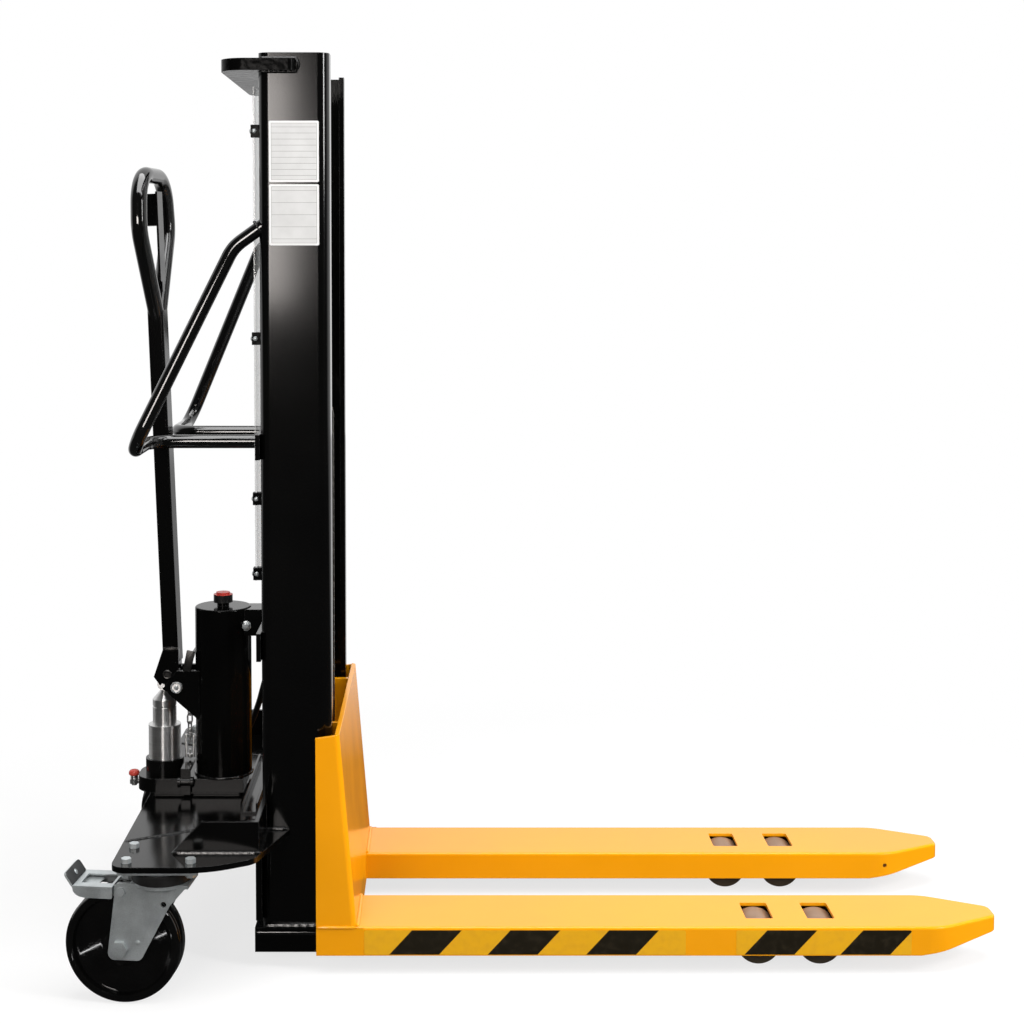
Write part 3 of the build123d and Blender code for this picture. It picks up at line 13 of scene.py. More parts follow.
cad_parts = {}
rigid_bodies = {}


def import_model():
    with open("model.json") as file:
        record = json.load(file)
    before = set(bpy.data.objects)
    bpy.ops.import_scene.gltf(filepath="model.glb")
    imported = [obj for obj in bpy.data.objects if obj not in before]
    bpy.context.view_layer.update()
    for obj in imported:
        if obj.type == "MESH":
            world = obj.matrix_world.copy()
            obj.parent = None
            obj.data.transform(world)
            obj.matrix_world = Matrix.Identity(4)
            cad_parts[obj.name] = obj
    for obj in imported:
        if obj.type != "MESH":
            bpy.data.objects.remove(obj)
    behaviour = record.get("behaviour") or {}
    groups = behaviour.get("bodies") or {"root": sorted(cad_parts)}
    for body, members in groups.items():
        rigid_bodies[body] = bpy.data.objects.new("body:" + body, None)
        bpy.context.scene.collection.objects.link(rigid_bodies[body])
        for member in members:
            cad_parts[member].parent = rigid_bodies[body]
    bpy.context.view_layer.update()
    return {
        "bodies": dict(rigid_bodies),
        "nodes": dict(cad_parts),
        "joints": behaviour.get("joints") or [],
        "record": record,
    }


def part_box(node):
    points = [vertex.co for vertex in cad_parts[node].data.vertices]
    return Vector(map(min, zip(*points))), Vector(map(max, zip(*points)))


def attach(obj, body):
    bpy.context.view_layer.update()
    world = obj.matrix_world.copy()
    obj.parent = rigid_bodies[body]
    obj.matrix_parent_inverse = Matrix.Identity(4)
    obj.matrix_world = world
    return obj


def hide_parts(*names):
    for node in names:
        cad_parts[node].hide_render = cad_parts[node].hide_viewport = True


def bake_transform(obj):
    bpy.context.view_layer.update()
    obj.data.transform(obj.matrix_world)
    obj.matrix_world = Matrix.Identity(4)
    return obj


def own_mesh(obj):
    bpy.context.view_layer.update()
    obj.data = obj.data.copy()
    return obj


log = logging.getLogger("pallet_stacker")

Colour = tuple[float, float, float]
Point = tuple[float, float, float]
Pair = tuple[float, float]
Profile = tuple[Pair, ...]
Bar = tuple[float, float, float]  # start, end and radius along an axis
Socket = bpy.types.NodeSocket

SMOOTH_BELOW = math.radians(38)
SHARP_ABOVE = math.radians(50)
HERE = Matrix.Identity(4)
UP = Vector((0, 0, 1))
TINY = 1e-6


class Body(Enum):
    """The moving bodies that new pieces ride on."""

    FRAME = "frame"
    CARRIAGE = "carriage"
    PISTON = "piston"
    RELEASE_CHAIN = "release_chain"
    HANDLE = "handle"
    BRAKE_PEDAL = "brake_pedal"
    CASTOR_RIGHT = "castor_right"
    CASTOR_LEFT = "castor_left"
    CASTOR_WHEEL_RIGHT = "castor_wheel_right"
    CASTOR_WHEEL_LEFT = "castor_wheel_left"


class Side(Enum):
    """The two sides of the stacker, as the sign of Y."""

    RIGHT = -1
    LEFT = 1

    @property
    def label(self) -> str:
        """The side's name in piece and node names."""
        return self.name.lower()

    @property
    def out(self) -> Vector:
        """The direction away from the stacker's middle."""
        return Vector((0, self.value, 0))

    def point(self, x: float, y: float, z: float) -> Vector:
        """A point that is given for the left side, on this side."""
        return Vector((x, self.value * y, z))

    def faces(self, low: Vector, high: Vector) -> Pair:
        """The outer and the inner Y of a box on this side."""
        return (low[1], high[1]) if self is Side.RIGHT else (high[1], low[1])


def grey(value: float) -> Colour:
    """A neutral colour."""
    return (value, value, value)


def facing(seat: Vector, out: Vector) -> Matrix:
    """A place at a point, with its Z axis along a direction."""
    return Matrix.Translation(seat) @ out.to_track_quat("Z", "Y").to_matrix().to_4x4()


def edges_of(verts: list) -> list:
    """The edges at some vertices, each of them once."""
    return list(dict.fromkeys(edge for vert in verts for edge in vert.link_edges))


class Nodes:
    """The node tree of a material or of the world."""

    def __init__(self, tree: bpy.types.NodeTree) -> None:
        """Takes up the tree that nodes go into."""
        self.tree = tree

    def feed(self, socket: Socket, value: object) -> None:
        """Links an input to an output, or sets its value.

        Args:
            socket: the input to feed.
            value: an output socket, or a plain value.
        """
        if isinstance(value, Socket):
            self.tree.links.new(value, socket)
        elif isinstance(value, tuple) and socket.type == "RGBA":
            socket.default_value = (*value, 1.0)
        else:
            socket.default_value = value

    def node(self, kind: str, inputs: dict | None = None, **settings: object) -> bpy.types.Node:
        """Adds a node.

        Args:
            kind: the node's type without its ShaderNode prefix.
            inputs: values or output sockets by input name or index.
            settings: the node's own properties.

        Returns:
            The new node.
        """
        made = self.tree.nodes.new("ShaderNode" + kind)
        for key, value in settings.items():
            setattr(made, key, value)
        for key, value in (inputs or {}).items():
            self.feed(made.inputs[key], value)
        return made

    def spot(self, stretch: Point = (1, 1, 1), turn: float = 0.0, centre: Point = (0, 0, 0)) -> Socket:
        """Object coordinates, centred, turned back and shrunk for a pattern.

        Args:
            stretch: how far the pattern is drawn out along each axis.
            turn: turn of the pattern about Z, in radians.
            centre: the point of the object that becomes the pattern's origin.

        Returns:
            The vector output.
        """
        inputs = {"Vector": self.node("TexCoord").outputs["Object"], "Location": centre,
                  "Rotation": (0, 0, turn), "Scale": stretch}
        return self.node("Mapping", inputs, vector_type="TEXTURE").outputs["Vector"]

    def axes(self, vector: Socket) -> tuple[Socket, ...]:
        """The X, Y and Z of a vector."""
        return tuple(self.node("SeparateXYZ", {0: vector}).outputs)

    def noise(self, spot: Socket, scale: float, detail: float = 2.0) -> Socket:
        """A cloud pattern from 0 to 1 with about `scale` features to the metre."""
        return self.node("TexNoise", {"Vector": spot, "Scale": scale, "Detail": detail}).outputs[0]

    def math(self, operation: str, *values: object) -> Socket:
        """One sum or comparison of up to three numbers."""
        return self.node("Math", dict(enumerate(values)), operation=operation).outputs[0]

    def near(self, value: Socket, reach: float) -> Socket:
        """A mask that is 1 where a number is less than a reach away from 0."""
        return self.math("LESS_THAN", self.math("ABSOLUTE", value), reach)

    def range(self, value: Socket, low: float, high: float, at_low: float = 0.0,
              at_high: float = 1.0) -> Socket:
        """Maps low..high to at_low..at_high, clamped."""
        inputs = {"Value": value, "From Min": low, "From Max": high, "To Min": at_low, "To Max": at_high}
        return self.node("MapRange", inputs).outputs[0]

    def mix(self, share: Socket, first: object, second: object) -> Socket:
        """A colour between two, by a share from 0 to 1."""
        return self.node("Mix", {0: share, 6: first, 7: second}, data_type="RGBA").outputs[2]

    def blend(self, share: Socket, first: object, second: object) -> Socket:
        """A number between two, by a share from 0 to 1."""
        return self.node("Mix", {0: share, 2: first, 3: second}).outputs[0]

    def rays(self) -> tuple[Socket, Socket]:
        """Masks of what is seen straight or through a clear sheet, and of what is seen in gloss.

        Returns:
            The two masks.
        """
        path = self.node("LightPath").outputs
        seen = self.math("MAXIMUM", path["Is Camera Ray"], path["Is Transmission Ray"])
        return seen, path["Is Glossy Ray"]

    def either(self, mask: Socket, first: bpy.types.Node, second: bpy.types.Node) -> bpy.types.Node:
        """The first of two shaders, or the second where a mask is 1."""
        return self.node("MixShader", {0: mask, 1: first.outputs[0], 2: second.outputs[0]})


class Shader(Nodes):
    """A material's nodes around one Principled shader."""

    def __init__(self, name: str) -> None:
        """Makes the material.

        Args:
            name: the material's name.
        """
        self.material = bpy.data.materials.new(name)
        self.material.use_nodes = True
        super().__init__(self.material.node_tree)
        self.surface = self.tree.nodes["Principled BSDF"]

    def set(self, **inputs: object) -> None:
        """Feeds the Principled shader, with underscores for spaces in input names."""
        for key, value in inputs.items():
            self.feed(self.surface.inputs[key.replace("_", " ")], value)

    def toned(self, cloud: Socket, first: Colour, second: Colour) -> Socket:
        """A colour that drifts between two with a cloud pattern."""
        return self.mix(self.range(cloud, 0.35, 0.7), first, second)

    def drifting(self, cloud: Socket, start: float, drift: float) -> Socket:
        """A roughness that drifts upwards from a start with a cloud pattern."""
        return self.range(cloud, 0.3, 0.7, start, start + drift)

    def rounded(self, radius: float) -> Socket:
        """A normal that rounds the edges over a radius in metres."""
        return self.node("Bevel", {"Radius": radius}, samples=4).outputs["Normal"]

    def edge(self, rounded: Socket) -> Socket:
        """A mask that is 1 on edges, where the rounded normal leaves the face's own.

        Args:
            rounded: the rounded normal.

        Returns:
            The mask.
        """
        flat = self.node("NewGeometry").outputs["True Normal"]
        lean = self.node("VectorMath", {0: rounded, 1: flat}, operation="DOT_PRODUCT").outputs["Value"]
        return self.range(lean, 0.985, 0.80)

    def bump(self, height: Socket, depth: float, normal: Socket | None = None) -> Socket:
        """A normal bent by a height map of that depth in metres."""
        inputs = {"Height": height, "Distance": depth} | ({} if normal is None else {"Normal": normal})
        return self.node("Bump", inputs).outputs["Normal"]


@dataclass(frozen=True)
class Finish:
    """A named finish, whose kind lays out its nodes."""

    name: str

    def lay(self, shader: Shader) -> None:
        """Lays out the nodes of this kind of finish in a shader."""
        raise NotImplementedError

    def material(self) -> bpy.types.Material:
        """Makes the material.

        Returns:
            The material, with the finish's name.
        """
        shader = Shader(self.name)
        self.lay(shader)
        return shader.material


@dataclass(frozen=True)
class Enamel(Finish):
    """Sprayed enamel on steel: orange peel, drifting gloss, and paler edges that are partly wear and partly
    painted highlight.
    """

    coat: Colour
    faded: Colour
    worn_and_highlight: Colour
    roughness: float
    drift: float = 0.05
    cloud: float = 6.0
    chips: float = 140.0
    edge_radius: float = 0.0015
    peel: float = 320.0
    peel_depth: float = 0.00002
    gloss: float = 0.5

    def lay(self, shader: Shader) -> None:
        """Lays out cloudy paint with chipped edges, paler there as wear and as painted highlight.

        Args:
            shader: where the nodes go.
        """
        spot = shader.spot()
        cloud = shader.noise(spot, self.cloud, 4.0)
        rounded = shader.rounded(self.edge_radius)
        chips = shader.range(shader.noise(spot, self.chips, 5.0), 0.42, 0.62, 0.15)
        # Edges get a paler colour: chipped wear, and a painted highlight along them.
        wear_and_highlight = shader.math("MULTIPLY", shader.edge(rounded), chips)
        shader.set(
            Base_Color=shader.mix(wear_and_highlight, shader.toned(cloud, self.coat, self.faded), self.worn_and_highlight),
            Roughness=shader.drifting(cloud, self.roughness, self.drift),
            Specular_IOR_Level=self.gloss,
            Normal=shader.bump(shader.noise(spot, self.peel, 1.0), self.peel_depth, rounded),
        )


@dataclass(frozen=True)
class Metal(Finish):
    """Bare, plated or oiled metal: a cloudy tone, a fine grain and, where it is turned, rings about Z."""

    tone: Colour
    shade: Colour
    roughness: float
    drift: float = 0.12
    cloud: float = 45.0
    grain: float = 900.0
    grain_stretch: Point = (1, 1, 1)
    grain_depth: float = 0.00002
    edge_radius: float = 0.0008
    metallic: float = 1.0
    turned: float = 0.0
    ring_turn: float = 0.25

    def lay(self, shader: Shader) -> None:
        """Lays out clouds and grain, and the sheen of turning.

        Args:
            shader: where the nodes go.
        """
        cloud = shader.noise(shader.spot(), self.cloud, 4.0)
        lines = shader.noise(shader.spot(stretch=self.grain_stretch), self.grain)
        share = shader.range(shader.math("ADD", cloud, lines), 0.75, 1.25)
        shader.set(
            Base_Color=shader.mix(share, self.shade, self.tone),
            Metallic=self.metallic,
            Roughness=shader.drifting(cloud, self.roughness, self.drift),
            Normal=shader.bump(lines, self.grain_depth, shader.rounded(self.edge_radius)),
        )
        if self.turned:
            round_z = shader.node("Tangent", direction_type="RADIAL", axis="Z").outputs[0]
            shader.set(Anisotropic=self.turned, Anisotropic_Rotation=self.ring_turn, Tangent=round_z)


@dataclass(frozen=True)
class Moulding(Finish):
    """Moulded plastic or rubber: a fine skin, slight mottling, and darker ends that are painted shade, or a
    top of another colour.
    """

    tone: Colour
    mottle: Colour
    roughness: float
    drift: float = 0.1
    cloud: float = 30.0
    grain: float = 700.0
    grain_depth: float = 0.00003
    edge_radius: float = 0.0012
    gloss: float = 0.5
    ends: Colour | None = None
    top: Colour | None = None
    top_from: float = 0.0

    def lay(self, shader: Shader) -> None:
        """Lays out mottled colour with its painted-shade ends and its top, and the skin.

        Args:
            shader: where the nodes go.
        """
        spot = shader.spot()
        cloud = shader.noise(spot, self.cloud, 4.0)
        colour = shader.toned(cloud, self.tone, self.mottle)
        # Faces along Y, the ends, get a darker colour: painted shade, as on the rollers under the forks.
        if self.ends:
            _, across, _ = shader.axes(shader.node("TexCoord").outputs["Normal"])
            shaded_sides = shader.math("GREATER_THAN", shader.math("ABSOLUTE", across), 0.7)
            colour = shader.mix(shaded_sides, colour, self.ends)
        if self.top:
            _, _, height = shader.axes(spot)
            colour = shader.mix(shader.math("GREATER_THAN", height, self.top_from), colour, self.top)
        shader.set(
            Base_Color=colour,
            Roughness=shader.drifting(cloud, self.roughness, self.drift),
            Specular_IOR_Level=self.gloss,
            Normal=shader.bump(shader.noise(spot, self.grain), self.grain_depth,
                               shader.rounded(self.edge_radius)),
        )


@dataclass(frozen=True)
class ClearSheet(Finish):
    """A clear plastic guard sheet with faint haze and hairline scuffs."""

    tint: Colour
    haze: Colour
    cover: float
    cloud: float = 9.0
    wave_depth: float = 0.0004
    scuffs: float = 600.0
    scuff_stretch: Point = (1, 1, 30)
    roughness: float = 0.05
    drift: float = 0.11

    def lay(self, shader: Shader) -> None:
        """Lays out haze, scuffs and a slight wave.

        Args:
            shader: where the nodes go.
        """
        cloud = shader.noise(shader.spot(), self.cloud, 4.0)
        scuffs = shader.noise(shader.spot(stretch=self.scuff_stretch), self.scuffs)
        shader.set(
            Base_Color=shader.toned(cloud, self.tint, self.haze),
            Roughness=shader.drifting(scuffs, self.roughness, self.drift),
            Alpha=self.cover,
            Normal=shader.bump(cloud, self.wave_depth),
        )


@dataclass(frozen=True)
class HazardStripes(Finish):
    """Printed vinyl tape with slanted stripes."""

    first: float
    pitch: float
    stripe: float
    lean: float
    foot: float
    yellow: Colour = (0.77, 0.39, 0.002)
    yellow_worn_and_highlight: Colour = (0.70, 0.34, 0.004)
    black: Colour = (0.011, 0.008, 0.003)
    black_worn_and_highlight: Colour = (0.03, 0.022, 0.01)
    roughness: float = 0.32
    drift: float = 0.14
    grime: float = 70.0
    wave: float = 45.0
    wave_depth: float = 0.0002

    def lay(self, shader: Shader) -> None:
        """Lays out the stripes, their grime and a slight wave.

        Args:
            shader: where the nodes go.
        """
        spot = shader.spot()
        along, _, height = shader.axes(spot)
        slant = shader.math("MULTIPLY", shader.math("SUBTRACT", height, self.foot), self.lean)
        slid = shader.math("SUBTRACT", shader.math("SUBTRACT", along, self.first), slant)
        black = shader.math("LESS_THAN", shader.math("WRAP", slid, self.pitch, 0.0), self.stripe)
        grime = shader.noise(spot, self.grime, 5.0)
        worn_black = shader.mix(shader.range(grime, 0.5, 0.8), self.black, self.black_worn_and_highlight)
        worn_yellow = shader.mix(shader.range(grime, 0.45, 0.8), self.yellow, self.yellow_worn_and_highlight)
        shader.set(
            Base_Color=shader.mix(black, worn_yellow, worn_black),
            Roughness=shader.drifting(grime, self.roughness, self.drift),
            Normal=shader.bump(shader.noise(spot, self.wave, 3.0), self.wave_depth),
        )


@dataclass(frozen=True)
class BlankPlate(Finish):
    """A satin white plate with a thin printed border and ruled rows, left blank."""

    centre: Point
    width: float
    height: float
    row: float
    white: Colour = (0.56, 0.56, 0.555)
    shaded: Colour = (0.51, 0.51, 0.505)
    rim: Colour = (0.68, 0.68, 0.675)
    line: Colour = (0.22, 0.22, 0.22)
    line_width: float = 0.0006
    margin: float = 0.004
    roughness: float = 0.42
    drift: float = 0.12
    gloss: float = 0.1
    cloud: float = 35.0
    grain: float = 260.0
    grain_depth: float = 0.00003

    def lay(self, shader: Shader) -> None:
        """Lays out the sheet, its rim, border and rows.

        Args:
            shader: where the nodes go.
        """
        across, _, upright = shader.axes(shader.spot(centre=self.centre))
        beyond = shader.math("MAXIMUM", *(
            shader.math("SUBTRACT", shader.math("ABSOLUTE", place), size / 2 - self.margin)
            for place, size in ((across, self.width), (upright, self.height))
        ))
        border = shader.near(beyond, self.line_width / 2)
        within = shader.math("LESS_THAN", beyond, 0.0)
        rows = shader.math("LESS_THAN", shader.math("WRAP", upright, self.row, 0.0), self.line_width)
        lines = shader.math("MAXIMUM", border, shader.math("MULTIPLY", rows, within))
        spot = shader.spot()
        cloud = shader.range(shader.noise(spot, self.cloud, 4.0), 0.35, 0.7)
        sheet = shader.mix(within, self.rim, shader.mix(cloud, self.white, self.shaded))
        shader.set(
            Specular_IOR_Level=self.gloss,
            Base_Color=shader.mix(lines, sheet, self.line),
            Roughness=shader.range(cloud, 0.0, 1.0, self.roughness, self.roughness + self.drift),
            Normal=shader.bump(shader.noise(spot, self.grain), self.grain_depth),
        )


class Finishes:
    """The stacker's finishes, made once and shared by its pieces."""

    red_band: float = 0.0045
    special: dict[str, tuple[str, ...]] = {
        "black_cut_edge": ("mast_top_plate", "screen_clips"),
        "black_tube_paint": ("push_bar_right", "push_bar_left", "handle_loop"),
        "black_tank_paint": ("oil_tank",),
        "black_mast_paint": ("mast_channel_right", "mast_channel_left"),
        "filler_cap_ring": ("filler_cap",),
    }

    def __init__(self) -> None:
        """Makes the material of each slot of the record, and a few for trim."""
        self.slots: dict[str, bpy.types.Material] = {}
        _, cap_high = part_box("filler_cap")
        satin = (grey(0.0012), (0.0018, 0.0018, 0.0017))
        deep = (grey(0.0010), (0.0016, 0.0016, 0.0015))
        # Paler colour on black edges: bare steel from wear, and a painted highlight.
        bare_edge_and_highlight = (0.045, 0.045, 0.046)
        for finish in (
            Enamel("black_paint", *satin, bare_edge_and_highlight, 0.13, drift=0.03, peel_depth=0.00001, gloss=0.25),
            Enamel("black_mast_paint", *deep, bare_edge_and_highlight, 0.11, drift=0.02, peel_depth=0.000008, gloss=0.44),
            Enamel("black_tube_paint", *deep, (0.030, 0.030, 0.031), 0.07, drift=0.03, peel_depth=0.000004,
                   gloss=0.95),
            Enamel("black_tank_paint", *satin, bare_edge_and_highlight, 0.11, drift=0.03, peel_depth=0.000006, gloss=0.12),
            Enamel("black_cut_edge", grey(0.0012), grey(0.002), bare_edge_and_highlight, 0.24, peel=70.0, peel_depth=0.0012,
                   gloss=0.05),
            Enamel("black_weld", grey(0.0015), grey(0.003), grey(0.05), 0.10, peel=420.0,
                   peel_depth=0.0003),
            Enamel("yellow_paint", (0.83, 0.325, 0.0012), (0.87, 0.343, 0.0016), (0.92, 0.46, 0.03), 0.17,
                   drift=0.06, peel_depth=0.000025, gloss=0.4),
            Metal("zinc_plate", (0.63, 0.675, 0.685), (0.40, 0.43, 0.44), 0.30, cloud=26.0, metallic=0.70),
            Metal("bright_steel", (0.72, 0.72, 0.715), (0.60, 0.60, 0.595), 0.33, drift=0.03,
                  grain_stretch=(40, 40, 1), metallic=0.95, turned=1.0),
            Metal("dark_steel", (0.16, 0.155, 0.15), (0.07, 0.068, 0.065), 0.32),
            Metal("chain_steel", (0.24, 0.225, 0.20), (0.11, 0.10, 0.09), 0.36),
            Moulding("black_plastic", grey(0.0016), grey(0.0026), 0.16, gloss=0.3),
            Moulding("wheel_plastic", grey(0.0014), (0.0026, 0.0026, 0.0025), 0.03, drift=0.03,
                     grain_depth=0.000001),
            Moulding("toe_rubber", (0.030, 0.031, 0.032), (0.055, 0.057, 0.058), 0.5, grain=420.0),
            # The roller's darker ends are painted shade under the forks.
            Moulding("roller_plastic", (0.25, 0.152, 0.095), (0.20, 0.118, 0.07), 0.38,
                     ends=(0.078, 0.062, 0.040)),
            Moulding("red_plastic", (0.55, 0.06, 0.04), (0.47, 0.05, 0.035), 0.3),
            Moulding("hose_rubber", grey(0.007), grey(0.013), 0.42, grain=420.0),
            Moulding("filler_cap_ring", grey(0.006), grey(0.006), 0.28, drift=0.12, cloud=90.0, grain=800.0,
                     edge_radius=0.0008, top=(0.42, 0.035, 0.025), top_from=cap_high[2] - self.red_band),
            ClearSheet("clear_sheet", (0.62, 0.63, 0.63), (0.70, 0.71, 0.71), 0.34),
        ):
            self.add(finish)

    def add(self, finish: Finish) -> None:
        """Makes a finish's material and keeps it under its name."""
        self.slots[finish.name] = finish.material()

    def dress(self, frame: dict) -> None:
        """Gives every node of the frame the material of its slot, or its special finish.
        """
        looks = {part["node"]: part["material_slot"] for part in frame["record"]["subparts"]}
        looks |= {name: finish for finish, names in self.special.items() for name in names}
        for name, node in frame["nodes"].items():
            node.data.materials.clear()
            node.data.materials.append(self.slots[looks[name]])


class Piece:
    """A new mesh piece: a bmesh while it is shaped, then an object."""

    def __init__(self, name: str) -> None:
        """Starts an empty piece of that name."""
        self.name = name
        self.mesh = bmesh.new()

    def since(self, before: set) -> list:
        """The vertices that were added after a set of them was noted."""
        return [vert for vert in self.mesh.verts if vert not in before]

    def bevel(self, edges: list, width: float, segments: int, clamp: bool = False) -> None:
        """Rounds some edges."""
        bmesh.ops.bevel(self.mesh, geom=edges, offset=width, affect="EDGES", segments=segments, profile=0.5,
                        material=-1, clamp_overlap=clamp)

    def soften(self, verts: list, width: float) -> None:
        """Rounds the sharp edges among some vertices.

        Args:
            verts: the vertices.
            width: width of the bevels.
        """
        chosen = set(verts)
        edges = [
            edge for edge in edges_of(verts)
            if chosen.issuperset(edge.verts) and len(edge.link_faces) == 2
            and edge.calc_face_angle() > SHARP_ABOVE
        ]
        self.bevel(edges, width, 2, clamp=True)

    def cylinder(self, start: Vector, end: Vector, radius: float, segments: int = 16,
                 end_radius: float | None = None) -> list:
        """Adds a closed round or many-sided bar between two points.

        Args:
            start: centre of the first end.
            end: centre of the second end.
            radius: radius at the start.
            segments: number of sides.
            end_radius: radius at the end, where it differs.

        Returns:
            The new vertices.
        """
        along = end - start
        made = bmesh.ops.create_cone(
            self.mesh, cap_ends=True, segments=segments, radius1=radius,
            radius2=radius if end_radius is None else end_radius, depth=along.length,
            matrix=facing((start + end) / 2, along),
        )
        return made["verts"]

    def slab(self, low: Point, high: Point, soft: float = 0.0, place: Matrix = HERE) -> list:
        """Adds a block with softened edges.

        Args:
            low: its lowest corner.
            high: its highest corner.
            soft: width of the bevels.
            place: where it goes from there.

        Returns:
            The block's first vertices.
        """
        low, high = Vector(low), Vector(high)
        shape = Matrix.Translation((low + high) / 2) @ Matrix.Diagonal((*(high - low), 1))
        verts = bmesh.ops.create_cube(self.mesh, size=1.0, matrix=place @ shape)["verts"]
        if soft:
            self.soften(verts, soft)
        return verts

    def plate(self, low: Point, high: Point, corner: float, tip: bool = False,
              place: Matrix = HERE) -> None:
        """Adds a plate that is thin along Y, with round corners.

        Args:
            low: its lowest corner.
            high: its highest corner.
            corner: radius of the round corners.
            tip: whether only the corners at its high X are round.
            place: where it goes from there.
        """
        before = set(self.mesh.verts)
        middle = (low[0] + high[0]) / 2
        corners = [
            edge for edge in edges_of(self.slab(low, high))
            if abs(edge.verts[0].co.y - edge.verts[1].co.y) > TINY
            and (edge.verts[0].co.x > middle or not tip)
        ]
        self.bevel(corners, corner, 4)
        bmesh.ops.transform(self.mesh, matrix=place, verts=self.since(before))

    def thicken(self, face: bmesh.types.BMFace, thick: Vector) -> list:
        """Pulls a lone face out to a sheet.

        Args:
            face: the face.
            thick: from the face to the sheet's other side.

        Returns:
            The vertices of the other side.
        """
        pulled = bmesh.ops.extrude_face_region(self.mesh, geom=[face])["geom"]
        raised = [item for item in pulled if isinstance(item, bmesh.types.BMVert)]
        bmesh.ops.translate(self.mesh, verts=raised, vec=thick)
        return raised

    def sheet(self, corners: list[Vector], thick: Vector) -> None:
        """Adds a flat sheet with an outline of corners in order."""
        face = self.mesh.faces.new([self.mesh.verts.new(corner) for corner in corners])
        self.thicken(face, thick)

    def spin(self, geometry: list, centre: Vector, axis: Vector, steps: int) -> None:
        """Turns vertices and edges once round an axis."""
        bmesh.ops.spin(self.mesh, geom=geometry, cent=centre, axis=axis, dvec=(0, 0, 0), angle=math.tau,
                       steps=steps, use_merge=True, use_duplicate=False)

    def turned(self, profile: Profile, place: Matrix, steps: int) -> None:
        """Adds a body turned about an axis from a profile, closed or from pole to pole.

        Args:
            profile: its corners as radius and height along the axis.
            place: takes the Z axis to the axis of turning.
            steps: number of faces round it.
        """
        before = set(self.mesh.verts)
        verts = [self.mesh.verts.new(place @ Vector((radius, 0, height))) for radius, height in profile]
        pairs = list(zip(verts, verts[1:]))
        if profile[0][0] > 0:
            pairs.append((verts[-1], verts[0]))
        edges = [self.mesh.edges.new(pair) for pair in pairs]
        self.spin(verts + edges, place.translation, place.to_3x3() @ UP, steps)
        bmesh.ops.remove_doubles(self.mesh, verts=self.since(before), dist=TINY)

    def ring(self, place: Matrix, radius: float, wire: float, stretch: float = 0.0,
             steps: int = 16) -> None:
        """Adds a round or long ring of wire about the Z axis of a place.

        Args:
            place: where it goes; a long ring is drawn out along X.
            radius: radius of the wire's middle line.
            wire: radius of the wire.
            stretch: length of the straight sides.
            steps: number of faces round it.
        """
        before = set(self.mesh.verts)
        upright = Matrix.Translation((radius, 0, 0)) @ Matrix.Rotation(math.pi / 2, 4, "X")
        circle = bmesh.ops.create_circle(self.mesh, segments=8, radius=wire, matrix=upright)["verts"]
        bmesh.ops.rotate(self.mesh, verts=circle, matrix=Matrix.Rotation(math.pi / steps, 3, "Z"))
        self.spin(circle + edges_of(circle), Vector(), UP, steps)
        made = self.since(before)
        for vert in made:
            vert.co.x += math.copysign(stretch / 2, vert.co.x)
        bmesh.ops.transform(self.mesh, matrix=place, verts=made)

    def hex_bolt(self, seat: Vector, out: Vector, across: float, head: float) -> None:
        """Adds a washer and a bevelled hexagon head on a face.

        Args:
            seat: where the bolt's axis meets the face.
            out: unit vector away from the face.
            across: width across the flats.
            head: height of the head above the washer.
        """
        washer, rim, corner = across * 0.12, across * 0.78, across / math.sqrt(3)
        crown, crown_top = across * 0.43, across * 0.36
        disc = self.cylinder(seat - out * washer * 0.5, seat + out * washer, rim, 24)
        self.soften(disc, washer * 0.3)
        hexagon = self.cylinder(seat + out * washer * 0.8, seat + out * (washer + head), corner, 6)
        self.soften(hexagon, head * 0.12)
        self.cylinder(seat + out * (washer + head * 0.9), seat + out * (washer + head * 1.06),
                      crown, 20, crown_top)

    def dome(self, seat: Vector, out: Vector, radius: float, height: float, socket: bool = False) -> None:
        """Adds a button head on a face.

        Args:
            seat: where the head's axis meets the face.
            out: unit vector away from the face.
            radius: radius of the head.
            height: height of the head.
            socket: whether it has a hexagon drive on top.
        """
        flatten = facing(seat, out) @ Matrix.Diagonal((1, 1, height / radius, 1))
        ball = bmesh.ops.create_uvsphere(self.mesh, u_segments=20, v_segments=12, radius=radius,
                                         matrix=flatten)["verts"]
        faces = list(dict.fromkeys(face for vert in ball for face in vert.link_faces))
        cut = bmesh.ops.bisect_plane(self.mesh, geom=ball + edges_of(ball) + faces, clear_outer=True,
                                     plane_co=seat - out * height * 0.2, plane_no=-out)["geom_cut"]
        rim = [item for item in cut if isinstance(item, bmesh.types.BMEdge)]
        bmesh.ops.edgeloop_fill(self.mesh, edges=rim)
        if socket:
            self.cylinder(seat + out * height * 0.55, seat + out * height * 1.02, radius * 0.42, 6)

    def bead(self, path: list[Vector], radius: float, ripple: float) -> None:
        """Adds a weld bead: a rippled, tapering rope of metal along straight runs.

        Args:
            path: the corners of the seam.
            radius: half the bead's width.
            ripple: length of one ripple.
        """
        stations = [path[0]]
        for start, end in zip(path, path[1:]):
            steps = max(2, round((end - start).length / (ripple / 2)))
            stations += [start.lerp(end, step / steps) for step in range(1, steps + 1)]
        rings = []
        last = len(stations) - 1
        for index, centre in enumerate(stations):
            along = stations[min(index + 1, last)] - stations[max(index - 1, 0)]
            swell = 0.86 + 0.14 * (index % 2) + 0.05 * math.sin(index * 1.7)
            size = radius * swell * min(1.0, 0.55 + 0.2 * min(index, last - index))
            ring = bmesh.ops.create_circle(self.mesh, cap_ends=index in (0, last), segments=8, radius=size,
                                           matrix=facing(centre, along))
            rings.append(edges_of(ring["verts"]))
        for first, second in zip(rings, rings[1:]):
            bmesh.ops.bridge_loops(self.mesh, edges=first + second)

